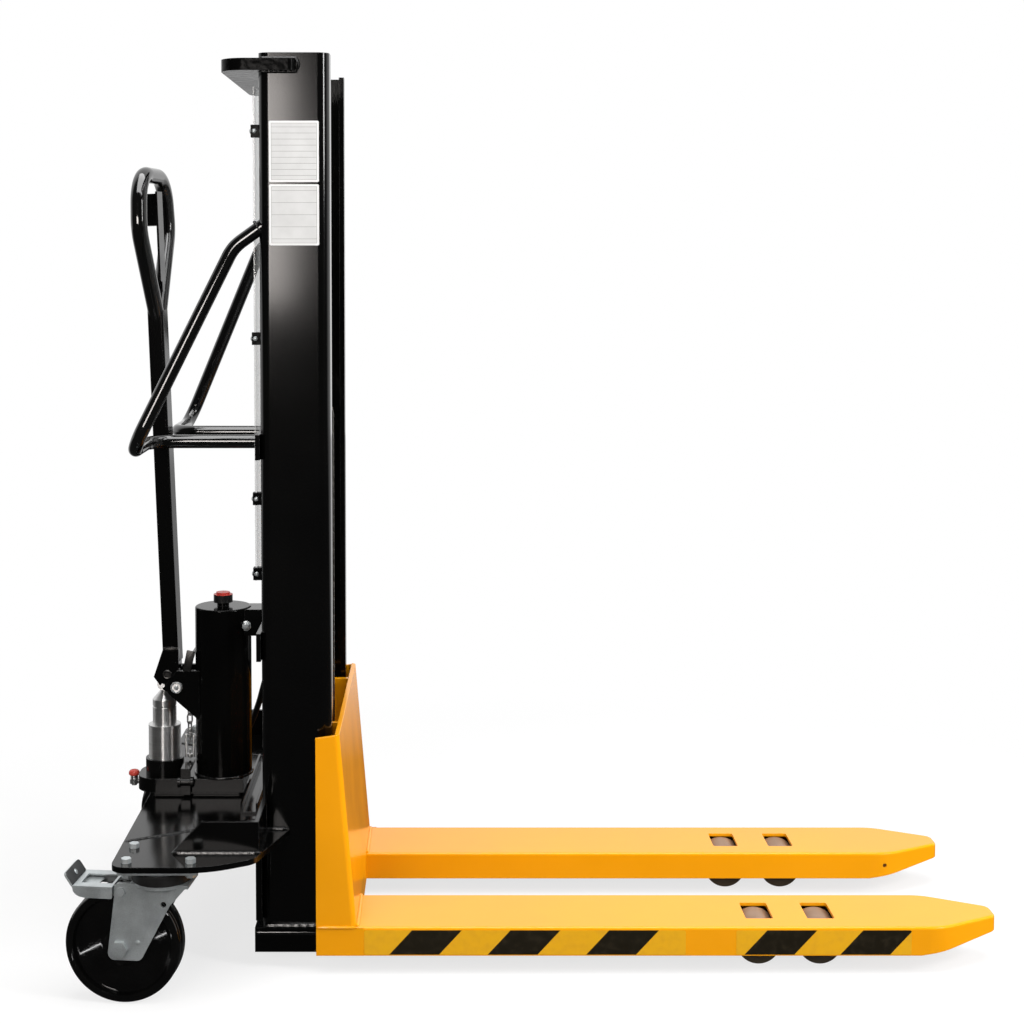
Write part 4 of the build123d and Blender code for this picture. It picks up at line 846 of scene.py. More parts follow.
    def round_bead(self, place: Matrix, round_radius: float, corners: int, radius: float,
                   ripple: float) -> None:
        """Adds a weld bead about the Z axis of a place.

        Args:
            place: where it goes.
            round_radius: radius of the seam.
            corners: number of straight runs round the seam.
            radius: half the bead's width.
            ripple: length of one ripple.
        """
        turns = (math.tau * step / corners for step in range(corners + 1))
        path = [place @ Vector((round_radius * math.cos(turn), round_radius * math.sin(turn), 0))
                for turn in turns]
        self.bead(path, radius, ripple)

    def object(self, material: bpy.types.Material) -> bpy.types.Object:
        """Makes the object, with smooth faces and sharp creases.

        Args:
            material: its finish.

        Returns:
            The object, riding on nothing yet.
        """
        bmesh.ops.recalc_face_normals(self.mesh, faces=self.mesh.faces)
        mesh = bpy.data.meshes.new(self.name)
        self.mesh.to_mesh(mesh)
        self.mesh.free()
        mesh.shade_smooth()
        mesh.set_sharp_from_angle(angle=SMOOTH_BELOW)
        mesh.materials.append(material)
        made = bpy.data.objects.new(self.name, mesh)
        bpy.context.scene.collection.objects.link(made)
        log.info("%s: %d faces", self.name, len(mesh.polygons))
        return made


@dataclass(frozen=True)
class Assembly:
    """A sub-assembly of added pieces, and how these are finished."""

    frame: dict
    finishes: Finishes

    def build(self) -> None:
        """Makes the pieces of this sub-assembly."""
        raise NotImplementedError

    def finish(self, piece: Piece, body: Body | None, slot: str, look: str = "",
               stands_for: str = "") -> bpy.types.Object:
        """Makes a piece's object, dresses it and lets it ride.

        Args:
            piece: the shaped piece.
            body: what it moves with, or none, where it rides on nothing.
            slot: the record's material slot.
            look: its finish, where that isn't the slot's own.
            stands_for: the node that it replaces, if any.

        Returns:
            The object.
        """
        made = piece.object(self.finishes.slots[look or slot])
        if body:
            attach(made, body.value)
        if stands_for:
            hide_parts(stands_for)
        return made


@dataclass(frozen=True)
class HazardTapes(Assembly):
    """Striped tapes on the outer sides of the two forks."""

    rise: float = 0.002
    height: float = 0.0435
    thick: float = 0.0003
    corner: float = 0.003
    stripe: float = 0.0880
    lean: float = 0.92
    runs: tuple[tuple[str, float, float, float, float], ...] = (
        ("rear", 0.0139, 0.567, 0.0578, 0.17375), ("front", 0.670, 0.309, 0.6844, 0.1690),
    )

    def build(self) -> None:
        """Makes a rear and a front tape on each fork, from start, length, first stripe and pitch."""
        for name, start, length, first, pitch in self.runs:
            low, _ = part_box("fork_right")
            look = f"hazard_tape_{name}"
            foot = low[2] + self.rise
            self.finishes.add(HazardStripes(look, low[0] + first, pitch, self.stripe, self.lean, foot))
            for side in Side:
                low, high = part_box(f"fork_{side.label}")
                face, _ = side.faces(low, high)
                under, over = sorted((face, face + side.value * self.thick))
                tape = Piece(f"{look}_{side.label}")
                tape.plate((low[0] + start, under, foot),
                           (low[0] + start + length, over, foot + self.height), self.corner)
                self.finish(tape, Body.CARRIAGE, "yellow_paint", look)


@dataclass(frozen=True)
class LiftChains(Assembly):
    """Two leaf chains: fixed runs, runs to the carriage and the wraps over the pulleys."""

    pitch: float = 0.0159
    plate: float = 0.0017
    step: float = 0.0018
    gap: float = 0.0004
    pin: float = 0.27
    segments: int = 10

    def build(self) -> None:
        """Makes the three lengths of chain."""
        low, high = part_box("chain_fixed_run")
        fixed = self.finish(self.run("lift_chains_fixed", low, high), None, "chain_steel",
                            stands_for="chain_fixed_run")
        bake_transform(fixed)

        low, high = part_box("chain_moving_run")
        moving = self.finish(self.run("lift_chains_moving", low, high), Body.CARRIAGE, "chain_steel",
                             stands_for="chain_moving_run")
        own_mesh(moving)

        self.finish(self.wrap("lift_chains_wrap"), Body.PISTON, "chain_steel", stands_for="chain_wrap")

    @property
    def half_width(self) -> float:
        """Half the width of one chain, over its pins."""
        return 3.5 * self.step

    def link(self, piece: Piece, centre: Vector, wide: bool, length: float, tall: float) -> list:
        """Adds one link's plates and its lower pin.

        Args:
            piece: the chain.
            centre: middle of the link.
            wide: whether it is an outer link of four plates or an inner one of three.
            length: pitch of the link.
            tall: height of its plates.

        Returns:
            The new vertices.
        """
        verts = []
        count = 4 if wide else 3
        for index in range(count):
            across = (index - (count - 1) / 2) * 2 * self.step
            place = Matrix.Translation(centre + Vector((0, across - self.plate / 2, 0)))
            upright = place @ Matrix.Rotation(math.radians(-90), 4, "X")
            disc = bmesh.ops.create_circle(piece.mesh, cap_ends=True, segments=self.segments,
                                           radius=tall / 2, matrix=upright)["verts"]
            for vert in disc:
                vert.co.z += math.copysign(length / 2 - self.gap, vert.co.z - centre.z)
            verts += disc + piece.thicken(disc[0].link_faces[0], Vector((0, self.plate, 0)))
        pin = centre - UP * length / 2
        reach = Vector((0, self.half_width, 0))
        return verts + piece.cylinder(pin - reach, pin + reach, tall * self.pin, 8)

    def run(self, name: str, low: Vector, high: Vector) -> Piece:
        """Makes a straight length of both chains in a node's box.

        Args:
            name: the piece's name.
            low: lowest corner of the box.
            high: highest corner.

        Returns:
            The piece.
        """
        piece = Piece(name)
        links = round((high[2] - low[2]) / self.pitch)
        length = (high[2] - low[2]) / links
        middle = (low[0] + high[0]) / 2
        for side in Side:
            for index in range(links):
                centre = side.point(middle, high[1] - self.half_width, low[2] + (index + 0.5) * length)
                self.link(piece, centre, index % 2 == 0, length, high[0] - low[0])
        return piece

    def wrap(self, name: str) -> Piece:
        """Makes the lengths of chain that lie over the pulleys.

        Args:
            name: the piece's name.

        Returns:
            The piece.
        """
        piece = Piece(name)
        low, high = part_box("chain_wrap")
        run_low, run_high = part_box("chain_moving_run")
        tall = run_high[0] - run_low[0]
        axle = Vector(((low[0] + high[0]) / 2, 0, low[2]))
        radius = (high[0] - low[0]) / 2 - tall / 2
        links = round(math.pi * radius / self.pitch)
        for side in Side:
            for index in range(links):
                centre = axle + side.point(radius, high[1] - self.half_width, 0)
                verts = self.link(piece, centre, index % 2 == 0, math.pi * radius / links, tall)
                turn = Matrix.Rotation(-math.pi * (index + 0.5) / links, 3, "Y")
                bmesh.ops.rotate(piece.mesh, verts=verts, cent=axle, matrix=turn)
        return piece


@dataclass(frozen=True)
class Castors(Assembly):
    """Two swivel castors: turned wheels, black rings round the races that are painted shade, small trim on
    the forks and the brake pedal.
    """

    turn: float = math.radians(6)
    plate_half: float = 0.055
    trail: float = 0.065
    axle_height: float = 0.100
    bore: float = 0.0102
    wheel_steps: int = 112
    half_section: Profile = (
        (0.0290, 0.0290), (0.0312, 0.0272), (0.0322, 0.0200), (0.0336, 0.0158), (0.0356, 0.0146),
        (0.0372, 0.0145), (0.0390, 0.0145), (0.0785, 0.0145), (0.0802, 0.0145), (0.0822, 0.0156),
        (0.0834, 0.0182), (0.0840, 0.0218), (0.0856, 0.0242), (0.0882, 0.0250), (0.0925, 0.0247),
        (0.0960, 0.0232), (0.0984, 0.0204), (0.0997, 0.0168), (0.1000, 0.0125), (0.0992, 0.0112),
        (0.1000, 0.0099),
    )
    # Section of the black ring that stands in for the shade at the swivel race.
    shade_ring_steps: int = 72
    shade_ring_section: Profile = (
        (0.0492, 0.2126), (0.0508, 0.2126), (0.0516, 0.2150), (0.0508, 0.2200), (0.0516, 0.2250),
        (0.0508, 0.2306), (0.0492, 0.2306),
    )
    dimple: Point = (-0.0335, 0.035, 0.1115)
    dimple_size: Pair = (0.0042, 0.0022)
    sheet: float = 0.0030
    pedal_top: float = 0.2065
    pedal_columns: tuple[float, ...] = (-0.1450, -0.1345, -0.0805, -0.0760)
    pedal_rows: tuple[float, ...] = (-0.0395, -0.0215, 0.0215, 0.0395)
    pedal_flange: Profile = (
        (-0.1450, 0.2040), (-0.1436, 0.1972), (-0.1395, 0.1920), (-0.1330, 0.1885), (-0.1240, 0.1868),
        (-0.1000, 0.1862), (-0.0780, 0.1860), (-0.0760, 0.1880), (-0.0760, 0.2040),
    )
    pedal_ear: Profile = (
        (-0.0850, 0.2060), (-0.0620, 0.2065), (-0.0556, 0.2039), (-0.0530, 0.1975), (-0.0556, 0.1911),
        (-0.0620, 0.1885), (-0.0850, 0.1885),
    )
    ear_face: float = 0.0295
    tray: tuple[Point, Point] = ((-0.1390, -0.0240, 0.1985), (-0.1070, 0.0240, 0.2005))
    shoe: tuple[Point, Point] = ((-0.1250, -0.0200, 0.1972), (-0.1080, 0.0200, 0.1990))
    soft: float = 0.0006
    lip_foot: Pair = (-0.1452, 0.2060)
    lip_head: Pair = (-0.1586, 0.2264)
    lip_half: float = 0.0365
    lip_round: float = 0.0070
    lip_root: float = 0.0010
    pad_thick: float = 0.0016
    pad_sink: float = 0.0004
    pad_foot: float = 0.0008
    pad_in: float = 0.0003
    rivet: Pair = (0.0048, 0.0020)

    def build(self) -> None:
        """Makes the wheels and the trim of both castors, and the right one's brake pedal."""
        for side in Side:
            self.wheel(side)
            self.fork_trim(side)
        self.pedal()
        self.toe_pad()

    def place(self, side: Side) -> Matrix:
        """From the castor's own axes, about its swivel, to the stacker's.

        Args:
            side: the castor's side.

        Returns:
            The place.
        """
        low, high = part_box("castor_plates")
        swivel = side.point((low[0] + high[0]) / 2, high[1] - self.plate_half, 0)
        return Matrix.Translation(swivel) @ Matrix.Rotation(side.value * self.turn, 4, "Z")

    def wheel(self, side: Side) -> None:
        """Makes one wheel with dished sides, a rounded tread and a hub.

        Args:
            side: the castor's side.
        """
        name = f"castor_wheel_{side.label}"
        outer = ((self.bore, self.half_section[0][1]), *self.half_section)
        section = outer + tuple((radius, -height) for radius, height in reversed(outer))
        axle = Matrix.Translation((-self.trail, 0, self.axle_height)) @ Matrix.Rotation(math.pi / 2, 4, "X")
        wheel = Piece(f"castor_wheel_turned_{side.label}")
        wheel.turned(section, self.place(side) @ axle, self.wheel_steps)
        self.finish(wheel, Body(name), "wheel_plastic", stands_for=name)

    def fork_trim(self, side: Side) -> None:
        """Makes a black ring round the swivel race, painted shade for the dark gap there, and the pressed
        dimples of one fork.

        Args:
            side: the castor's side.
        """
        body, place = Body(f"castor_{side.label}"), self.place(side)
        # A black ring round the swivel race: painted shade in the gap between the plate and the fork.
        shade_ring = Piece(f"castor_race_seal_{side.label}")
        shade_ring.turned(self.shade_ring_section, place, self.shade_ring_steps)
        self.finish(shade_ring, body, "hose_rubber")
        dimples = Piece(f"castor_fork_dimples_{side.label}")
        for face in Side:
            dimples.dome(place @ face.point(*self.dimple), place.to_3x3() @ face.out, *self.dimple_size)
        self.finish(dimples, body, "zinc_plate")

    def pedal(self) -> None:
        """Makes the brake pedal: a pressed frame with flanges, ears, a tray, a shoe and a toe lip."""
        piece = Piece("brake_pedal_pressing")
        place = self.place(Side.RIGHT)
        verts = bmesh.ops.create_grid(piece.mesh, x_segments=3, y_segments=3, size=1.5)["verts"]
        window = min(piece.mesh.faces, key=lambda face: face.calc_center_median().length)
        for vert in verts:
            column, row = round(vert.co.x + 1.5), round(vert.co.y + 1.5)
            vert.co = place @ Vector((self.pedal_columns[column], self.pedal_rows[row], self.pedal_top))
        bmesh.ops.delete(piece.mesh, geom=[window], context="FACES")
        bmesh.ops.solidify(piece.mesh, geom=list(piece.mesh.faces), thickness=self.sheet)
        for side in Side:
            inwards = place.to_3x3() @ (side.out * -self.sheet)
            for outline, face in ((self.pedal_flange, self.pedal_rows[3]), (self.pedal_ear, self.ear_face)):
                piece.sheet([place @ side.point(x, face, z) for x, z in outline], inwards)
        piece.slab(*self.tray, self.soft, place)
        piece.slab(*self.shoe, self.soft, place)
        piece.plate((-self.lip_root, -self.sheet, -self.lip_half), (self.lip_length, 0.0, self.lip_half),
                    self.lip_round, tip=True, place=self.lip_place)
        self.finish(piece, Body.BRAKE_PEDAL, "zinc_plate", stands_for="brake_pedal")

    @property
    def lip_length(self) -> float:
        """Height of the toe lip along its own face."""
        return math.dist(self.lip_foot, self.lip_head)

    @property
    def lip_place(self) -> Matrix:
        """From the toe lip's own axes, up, out of its front face and across, to the stacker's.

        Returns:
            The place.
        """
        foot, head = (Vector((x, 0, z)) for x, z in (self.lip_foot, self.lip_head))
        up = (head - foot).normalized()
        axes = Matrix((up, Vector((up.z, 0, -up.x)), Vector((0, -1, 0)))).transposed().to_4x4()
        return self.place(Side.RIGHT) @ Matrix.Translation(foot) @ axes

    def toe_pad(self) -> None:
        """Makes the dark pad on the toe lip of the brake pedal, with its rivet."""
        lip = self.lip_place
        half = self.lip_half - self.pad_in
        pad = Piece("brake_pedal_pad")
        pad.plate((self.pad_foot, -self.pad_sink, -half),
                  (self.lip_length - self.pad_in, self.pad_thick, half),
                  self.lip_round, tip=True, place=lip)
        self.finish(pad, Body.BRAKE_PEDAL, "black_plastic", "toe_rubber")
        rivet = Piece("brake_pedal_rivet")
        rivet.dome(lip @ Vector((self.lip_length / 2, self.pad_thick, 0)),
                   lip.to_3x3() @ Vector((0, 1, 0)), *self.rivet)
        self.finish(rivet, Body.BRAKE_PEDAL, "zinc_plate")


@dataclass(frozen=True)
class ReleaseRun(Assembly):
    """Link chain and bright adjuster between the pump handle and the release lever."""

    links: int = 5
    link_radius: float = 0.0052
    link_wire: float = 0.0017
    link_steps: int = 12
    link_turn: float = 40.0
    frame_low: float = 0.0075
    frame_high: float = 0.0455
    frame_half: float = 0.0072
    boss_radius: float = 0.0056
    boss_soft: float = 0.0006
    bar_wide: float = 0.0022
    bar_deep: float = 0.0030
    bar_soft: float = 0.0008
    rod_radius: float = 0.0022
    rod_foot: float = 0.0020
    rod_in: float = 0.012
    rod_out: float = 0.005
    eye_radius: float = 0.0048
    eye_rise: float = 0.003

    def build(self) -> None:
        """Makes the chain and the adjuster in the place of the plain run."""
        low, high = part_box("release_chain")
        foot = Vector(((low[0] + high[0]) / 2, 0, low[2]))
        self.finish(self.chain(foot, high[2] - low[2]), Body.RELEASE_CHAIN, "chain_steel", "bright_steel",
                    "release_chain")
        self.finish(self.adjuster(foot), Body.RELEASE_CHAIN, "chain_steel", "bright_steel")

    def chain(self, foot: Vector, height: float) -> Piece:
        """Makes the links above the adjuster, every other one turned by a quarter.

        Args:
            foot: lowest point of the run.
            height: height of the run.

        Returns:
            The piece.
        """
        piece = Piece("release_chain_links")
        start = self.frame_high + 2 * self.eye_radius
        pitch = (height - start) / self.links
        stretch = pitch - 2 * (self.link_radius - self.link_wire)
        for index in range(self.links):
            centre = foot + UP * (start + (index + 0.5) * pitch)
            turn = Matrix.Rotation(math.radians(self.link_turn + 90 * (index % 2)), 4, "Z")
            place = Matrix.Translation(centre) @ turn @ Matrix.Rotation(-math.pi / 2, 4, "Y")
            piece.ring(place, self.link_radius, self.link_wire, stretch, self.link_steps)
        return piece

    def adjuster(self, foot: Vector) -> Piece:
        """Makes the adjuster: two side bars between bosses, with a rod at each end and an eye on top.

        Args:
            foot: lowest point of the run.

        Returns:
            The piece.
        """
        piece = Piece("release_adjuster")
        low, high = foot + UP * self.frame_low, foot + UP * self.frame_high
        rise = UP * self.bar_deep
        for centre in (low, high):
            piece.soften(piece.cylinder(centre - rise, centre + rise, self.boss_radius), self.boss_soft)
        half = Vector((self.bar_wide, self.bar_deep, self.bar_deep))
        for across in (-self.frame_half, self.frame_half):
            aside = Vector((across, 0, 0))
            piece.slab(low + aside - half, high + aside + half, self.bar_soft)
        for start, end in ((foot + UP * self.rod_foot, low + UP * self.rod_in),
                           (high - UP * self.rod_in, high + UP * self.rod_out)):
            piece.cylinder(start, end, self.rod_radius, 12)
        eye = Matrix.Translation(high + UP * (self.eye_rise + self.eye_radius))
        piece.ring(eye @ Matrix.Rotation(math.pi / 2, 4, "X"), self.eye_radius, self.link_wire)
        return piece


@dataclass(frozen=True)
class MastTrim(Assembly):
    """Blank plates on the near web, screws in the screen's clips, weld beads and the feet's rolls."""

    plate_left: float = 0.0194
    plate_width: float = 0.0868
    plate_height: float = 0.1060
    plate_thick: float = 0.0004
    plate_corner: float = 0.0025
    plates: tuple[tuple[str, float, float], ...] = (("lower", 1.2850, 0.0210), ("upper", 1.3950, 0.0105))
    clip_levels: tuple[float, ...] = (0.703, 0.837, 1.121, 1.485)
    screw: Pair = (0.0050, 0.0026)
    screw_in: float = 0.0065
    rivet: Pair = (0.0042, 0.0020)
    rivet_in: float = 0.0060
    proud: float = 0.0012
    end_in: float = 0.004
    foot_bead: Pair = (0.0062, 0.0075)
    foot_rise: float = 0.0045
    foot_in: float = 0.002
    lug_bead: Pair = (0.0034, 0.0045)
    lug_out: float = 0.0010
    blob_bead: Pair = (0.0066, 0.0070)
    blob_out: float = 0.0025
    blob_in: Pair = (0.002, 0.001)
    bar_bead: Pair = (0.0028, 0.0045)
    bar_ring: float = 0.0128
    bar_corners: int = 14
    bar_rise: float = 1.3155
    bar_slope: Point = (-0.8125, 0.0, -0.5829)
    bar_in: float = 0.0180
    bar_foot: Pair = (0.0850, 0.9250)
    roll_radius: float = 0.0050
    roll_in: float = 0.0028
    roll_drop: float = 0.0095

    def build(self) -> None:
        """Makes the plates, the screws, the beads and the rolls."""
        for name, foot, row in self.plates:
            self.blank(f"blank_plate_{name}", foot, row)
        self.screws()
        self.welds()
        self.rolls()

    def blank(self, name: str, foot: float, row: float) -> None:
        """Makes one thin blank plate on the near web.

        Args:
            name: the piece's name.
            foot: height of its lower edge.
            row: distance between its ruled rows.
        """
        low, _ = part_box("mast_channel_right")
        left, face = low[0] + self.plate_left, low[1]
        centre = (left + self.plate_width / 2, face - self.plate_thick / 2, foot + self.plate_height / 2)
        self.finishes.add(BlankPlate(name, centre, self.plate_width, self.plate_height, row))
        plate = Piece(name)
        plate.plate((left, face - self.plate_thick, foot),
                    (left + self.plate_width, face, foot + self.plate_height), self.plate_corner)
        self.finish(plate, Body.FRAME, "clear_sheet", name)

    def screws(self) -> None:
        """Makes a screw in the back and a rivet in the side of each clip."""
        low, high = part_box("screen_clips")
        piece = Piece("screen_clip_screws")
        for side in Side:
            for level in self.clip_levels:
                back = side.point(low[0], high[1] - self.screw_in, level)
                piece.dome(back, Vector((-1, 0, 0)), *self.screw, socket=True)
                piece.dome(side.point(low[0] + self.rivet_in, high[1], level), side.out, *self.rivet)
        self.finish(piece, Body.FRAME, "zinc_plate")

    def welds(self) -> None:
        """Makes the beads at the mast's feet, the top lugs and the ends of the push bars."""
        piece = Piece("mast_welds")
        low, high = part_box("mast_channel_left")
        lug_low, lug_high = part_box("mast_top_plate")
        bar_low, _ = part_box("mast_crossbars")
        back, front, face = low[0] + self.end_in, lug_high[0] + self.lug_out, high[1] + self.proud
        under, over = lug_low[2] - self.lug_out, lug_high[2] + self.lug_out
        blob_ends = (lug_low[2] + self.blob_in[0], lug_high[2] - self.blob_in[1])
        for side in Side:
            foot = [side.point(x, face, low[2] + self.foot_rise) for x in (back, high[0] - self.foot_in)]
            piece.bead(foot, *self.foot_bead)
            lug = ((back, under), (front, under), (front, over), (back, over))
            piece.bead([side.point(x, face, z) for x, z in lug], *self.lug_bead)
            blob = [side.point(lug_high[0] + self.blob_out, face + self.proud, z) for z in blob_ends]
            piece.bead(blob, *self.blob_bead)
            upper = side.point(low[0] - self.proud, high[1] - self.bar_in, self.bar_rise)
            lower = side.point(bar_low[0] - self.proud, *self.bar_foot)
            for centre, along in ((upper, Vector(self.bar_slope)), (lower, Vector((-1, 0, 0)))):
                piece.round_bead(facing(centre, along), self.bar_ring, self.bar_corners, *self.bar_bead)
        self.finish(piece, Body.FRAME, "black_paint", "black_weld")

    def rolls(self) -> None:
        """Makes the rolled edges beside the mast's feet."""
        piece = Piece("leg_edge_rolls")
        _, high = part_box("mast_channel_left")
        for side in Side:
            leg_low, leg_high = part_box(f"support_leg_{side.label}")
            start, end = (side.point(x, high[1] - self.roll_in, leg_high[2] - self.roll_drop)
                          for x in (leg_low[0] + self.end_in, high[0]))
            piece.cylinder(start, end, self.roll_radius, 24)
        self.finish(piece, Body.FRAME, "black_paint", "black_tube_paint")


@dataclass(frozen=True)
class DeckTrim(Assembly):
    """Weld beads on the rear deck, at its gussets and round the tank's foot."""

    sink: float = 0.0012
    end_in: float = 0.004
    gusset_bead: Pair = (0.0052, 0.0075)
    gusset_ends: Pair = (0.003, 0.002)
    return_bead: Pair = (0.0042, 0.0065)
    return_out: float = 0.0010
    wing_bead: Pair = (0.0040, 0.0065)
    mast_bead: Pair = (0.0034, 0.0045)
    mast_out: float = 0.0015
    mast_in: Pair = (0.003, 0.002)
    seam_bead: Pair = (0.0040, 0.0060)
    seam_in: float = 0.003
    seam_front_in: float = 0.0560
    tank_bead: Pair = (0.0030, 0.0052)
    tank_ring: float = 0.0536
    tank_corners: int = 48

    def build(self) -> None:
        """Makes the beads of the deck and of the tank."""
        piece = Piece("deck_welds")
        for side in Side:
            for start, end, size in self.seams():
                piece.bead([side.point(*start), side.point(*end)], *size)
        self.finish(piece, Body.FRAME, "black_paint", "black_weld")

        low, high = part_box("oil_tank")
        foot = Matrix.Translation(((low[0] + high[0]) / 2, 0, low[2] + self.sink))
        tank = Piece("tank_weld")
        tank.round_bead(foot, self.tank_ring, self.tank_corners, *self.tank_bead)
        self.finish(tank, Body.FRAME, "black_paint", "black_weld")

    def seams(self) -> tuple[tuple[Point, Point, Pair], ...]:
        """The seams of the left side: along the gusset, its return to the mast, the wing and the deck.

        Returns:
            Start, end and bead of each seam.
        """
        low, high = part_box("deck_gussets")
        _, wing_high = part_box("deck_wings")
        _, mast_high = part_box("mast_channel_left")
        plate_low, plate_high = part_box("deck_plate")
        deck, seam = low[2] + self.return_out, plate_high[2] - self.sink
        outer, mast = high[1] + self.sink, mast_high[1] + self.mast_out
        front = high[0] + self.return_out
        corner = front - self.mast_in[0]
        return (
            ((low[0] + self.gusset_ends[0], outer, deck), (high[0] + self.gusset_ends[1], outer, deck),
             self.gusset_bead),
            ((front, outer, deck), (front, mast, deck), self.return_bead),
            ((front, mast, deck), (wing_high[0] - self.end_in, mast, deck), self.wing_bead),
            ((corner, mast, deck), (corner, mast, high[2] - self.mast_in[1]), self.mast_bead),
            ((plate_low[0] + self.seam_in, plate_high[1], seam),
             (plate_high[0] - self.end_in, mast_high[1] - self.seam_front_in, seam), self.seam_bead),
        )


@dataclass(frozen=True)
class PumpTrim(Assembly):
    """Pin faces, the yoke's bolts, the relief valve, the tank's clamp bolts and the hose's nuts."""

    pin: Point = (-0.6784, 0.0360, 0.4533)
    pin_rim: Profile = (
        (0.0078, -0.0004), (0.0106, -0.0004), (0.0104, 0.0008), (0.0094, 0.0014), (0.0082, 0.0008),
    )
    pin_steps: int = 40
    pin_button: Pair = (0.0044, 0.0012)
    stop: tuple[Point, Point] = ((-0.6670, -0.0330, 0.4830), (-0.6515, -0.0270, 0.5230))
    stop_lean: float = 12.0
    stop_soft: float = 0.0012
    shaft_foot: Point = (-0.7045, 0.0204, 0.5235)
    shaft_width: float = 0.0275
    shaft_bead: Pair = (0.0056, 0.0070)
    yoke_bolt: Point = (-0.6979, 0.0200, 0.4748)
    yoke_rim: Profile = (
        (0.0050, -0.0004), (0.0088, -0.0004), (0.0086, 0.0014), (0.0074, 0.0024), (0.0056, 0.0020),
    )
    yoke_drive: Bar = (-0.0004, 0.0012, 0.0052)
    steps: int = 32
    valve_stem: Profile = (
        (0.0, 0.0), (0.0052, 0.0), (0.0052, 0.0118), (0.0074, 0.0122), (0.0080, 0.0134), (0.0070, 0.0150),
        (0.0078, 0.0166), (0.0066, 0.0186), (0.0066, 0.0200), (0.0, 0.0200),
    )
    valve_cap: Profile = (
        (0.0, 0.0196), (0.0092, 0.0196), (0.0102, 0.0206), (0.0104, 0.0238), (0.0096, 0.0268),
        (0.0074, 0.0288), (0.0038, 0.0294), (0.0030, 0.0284), (0.0, 0.0284),
    )
    valve_radius: float = 0.0104
    valve_hexagon: Bar = (0.0030, 0.0116, 0.0090)
    valve_soft: float = 0.0006
    neck_half: float = 0.0045
    neck_levels: Pair = (0.0040, 0.0110)
    neck_in: float = 0.0005
    neck_soft: float = 0.0008
    clamp_bolt: Point = (-0.5470, 0.0300, 0.5700)
    clamp_head: Pair = (0.0125, 0.0060)
    nuts: tuple[tuple[Point, Point], ...] = (
        ((-0.5934, 0.0500, 0.2670), (0, 1, 0)), ((-0.4830, 0.0, 0.5000), (1, 0, 0)),
    )
    nut_radius: float = 0.0118
    nut_length: float = 0.0095
    nut_soft: float = 0.0008

    def build(self) -> None:
        """Makes the trim of the handle's foot, the valve, the clamp and the hose."""
        self.handle_foot()
        self.valve()
        bolts = Piece("tank_clamp_bolts")
        for side in Side:
            bolts.hex_bolt(side.point(*self.clamp_bolt), side.out, *self.clamp_head)
        self.finish(bolts, Body.FRAME, "zinc_plate")
        nuts = Piece("hose_nuts")
        for seat, out in self.nuts:
            start = Vector(seat)
            nut = nuts.cylinder(start, start + Vector(out) * self.nut_length, self.nut_radius, 6)
            nuts.soften(nut, self.nut_soft)
        self.finish(nuts, Body.FRAME, "zinc_plate")

    def handle_foot(self) -> None:
        """Makes the pivot pin's faces, the stop's wearing tab, and the beads and flat bolts of the yoke."""
        pins, beads = Piece("pivot_pin_faces"), Piece("handle_shaft_welds")
        tab, bolts = Piece("handle_stop_tab"), Piece("handle_yoke_bolts")
        drive_foot, drive_head, drive_radius = self.yoke_drive
        for side in Side:
            seat = side.point(*self.pin)
            pins.turned(self.pin_rim, facing(seat, side.out), self.pin_steps)
            pins.dome(seat, side.out, *self.pin_button)
            start = side.point(*self.shaft_foot)
            beads.bead([start, start + Vector((self.shaft_width, 0, 0))], *self.shaft_bead)
            seat = side.point(*self.yoke_bolt)
            bolts.turned(self.yoke_rim, facing(seat, side.out), self.steps)
            bolts.cylinder(seat + side.out * drive_foot, seat + side.out * drive_head, drive_radius, 6)
        low, high = self.stop
        foot = Vector(((low[0] + high[0]) / 2, low[1], low[2]))
        lean = Matrix.Rotation(math.radians(self.stop_lean), 4, "Y")
        tab.slab(low, high, self.stop_soft, Matrix.Translation(foot) @ lean @ Matrix.Translation(-foot))
        self.finish(pins, Body.FRAME, "bright_steel", "zinc_plate")
        self.finish(tab, Body.FRAME, "dark_steel")
        self.finish(beads, Body.HANDLE, "black_paint", "dark_steel")
        self.finish(bolts, Body.HANDLE, "dark_steel")

    def valve(self) -> None:
        """Makes the relief valve: a stem with a hexagon and a bright neck, and its red cap."""
        low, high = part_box("relief_valve")
        foot = Vector((low[0] + self.valve_radius, 0, low[2]))
        stem = Piece("relief_valve_stem")
        stem.turned(self.valve_stem, Matrix.Translation(foot), self.steps)
        start, end, radius = self.valve_hexagon
        hexagon = stem.cylinder(foot + UP * start, foot + UP * end, radius, 6)
        stem.soften(hexagon, self.valve_soft)
        under, over = self.neck_levels
        stem.slab((foot.x, -self.neck_half, low[2] + under),
                  (high[0] + self.neck_in, self.neck_half, low[2] + over), self.neck_soft)
        self.finish(stem, Body.FRAME, "bright_steel", stands_for="relief_valve")
        cap = Piece("relief_valve_cap")
        cap.turned(self.valve_cap, Matrix.Translation(foot), self.steps)
        self.finish(cap, Body.FRAME, "red_plastic")


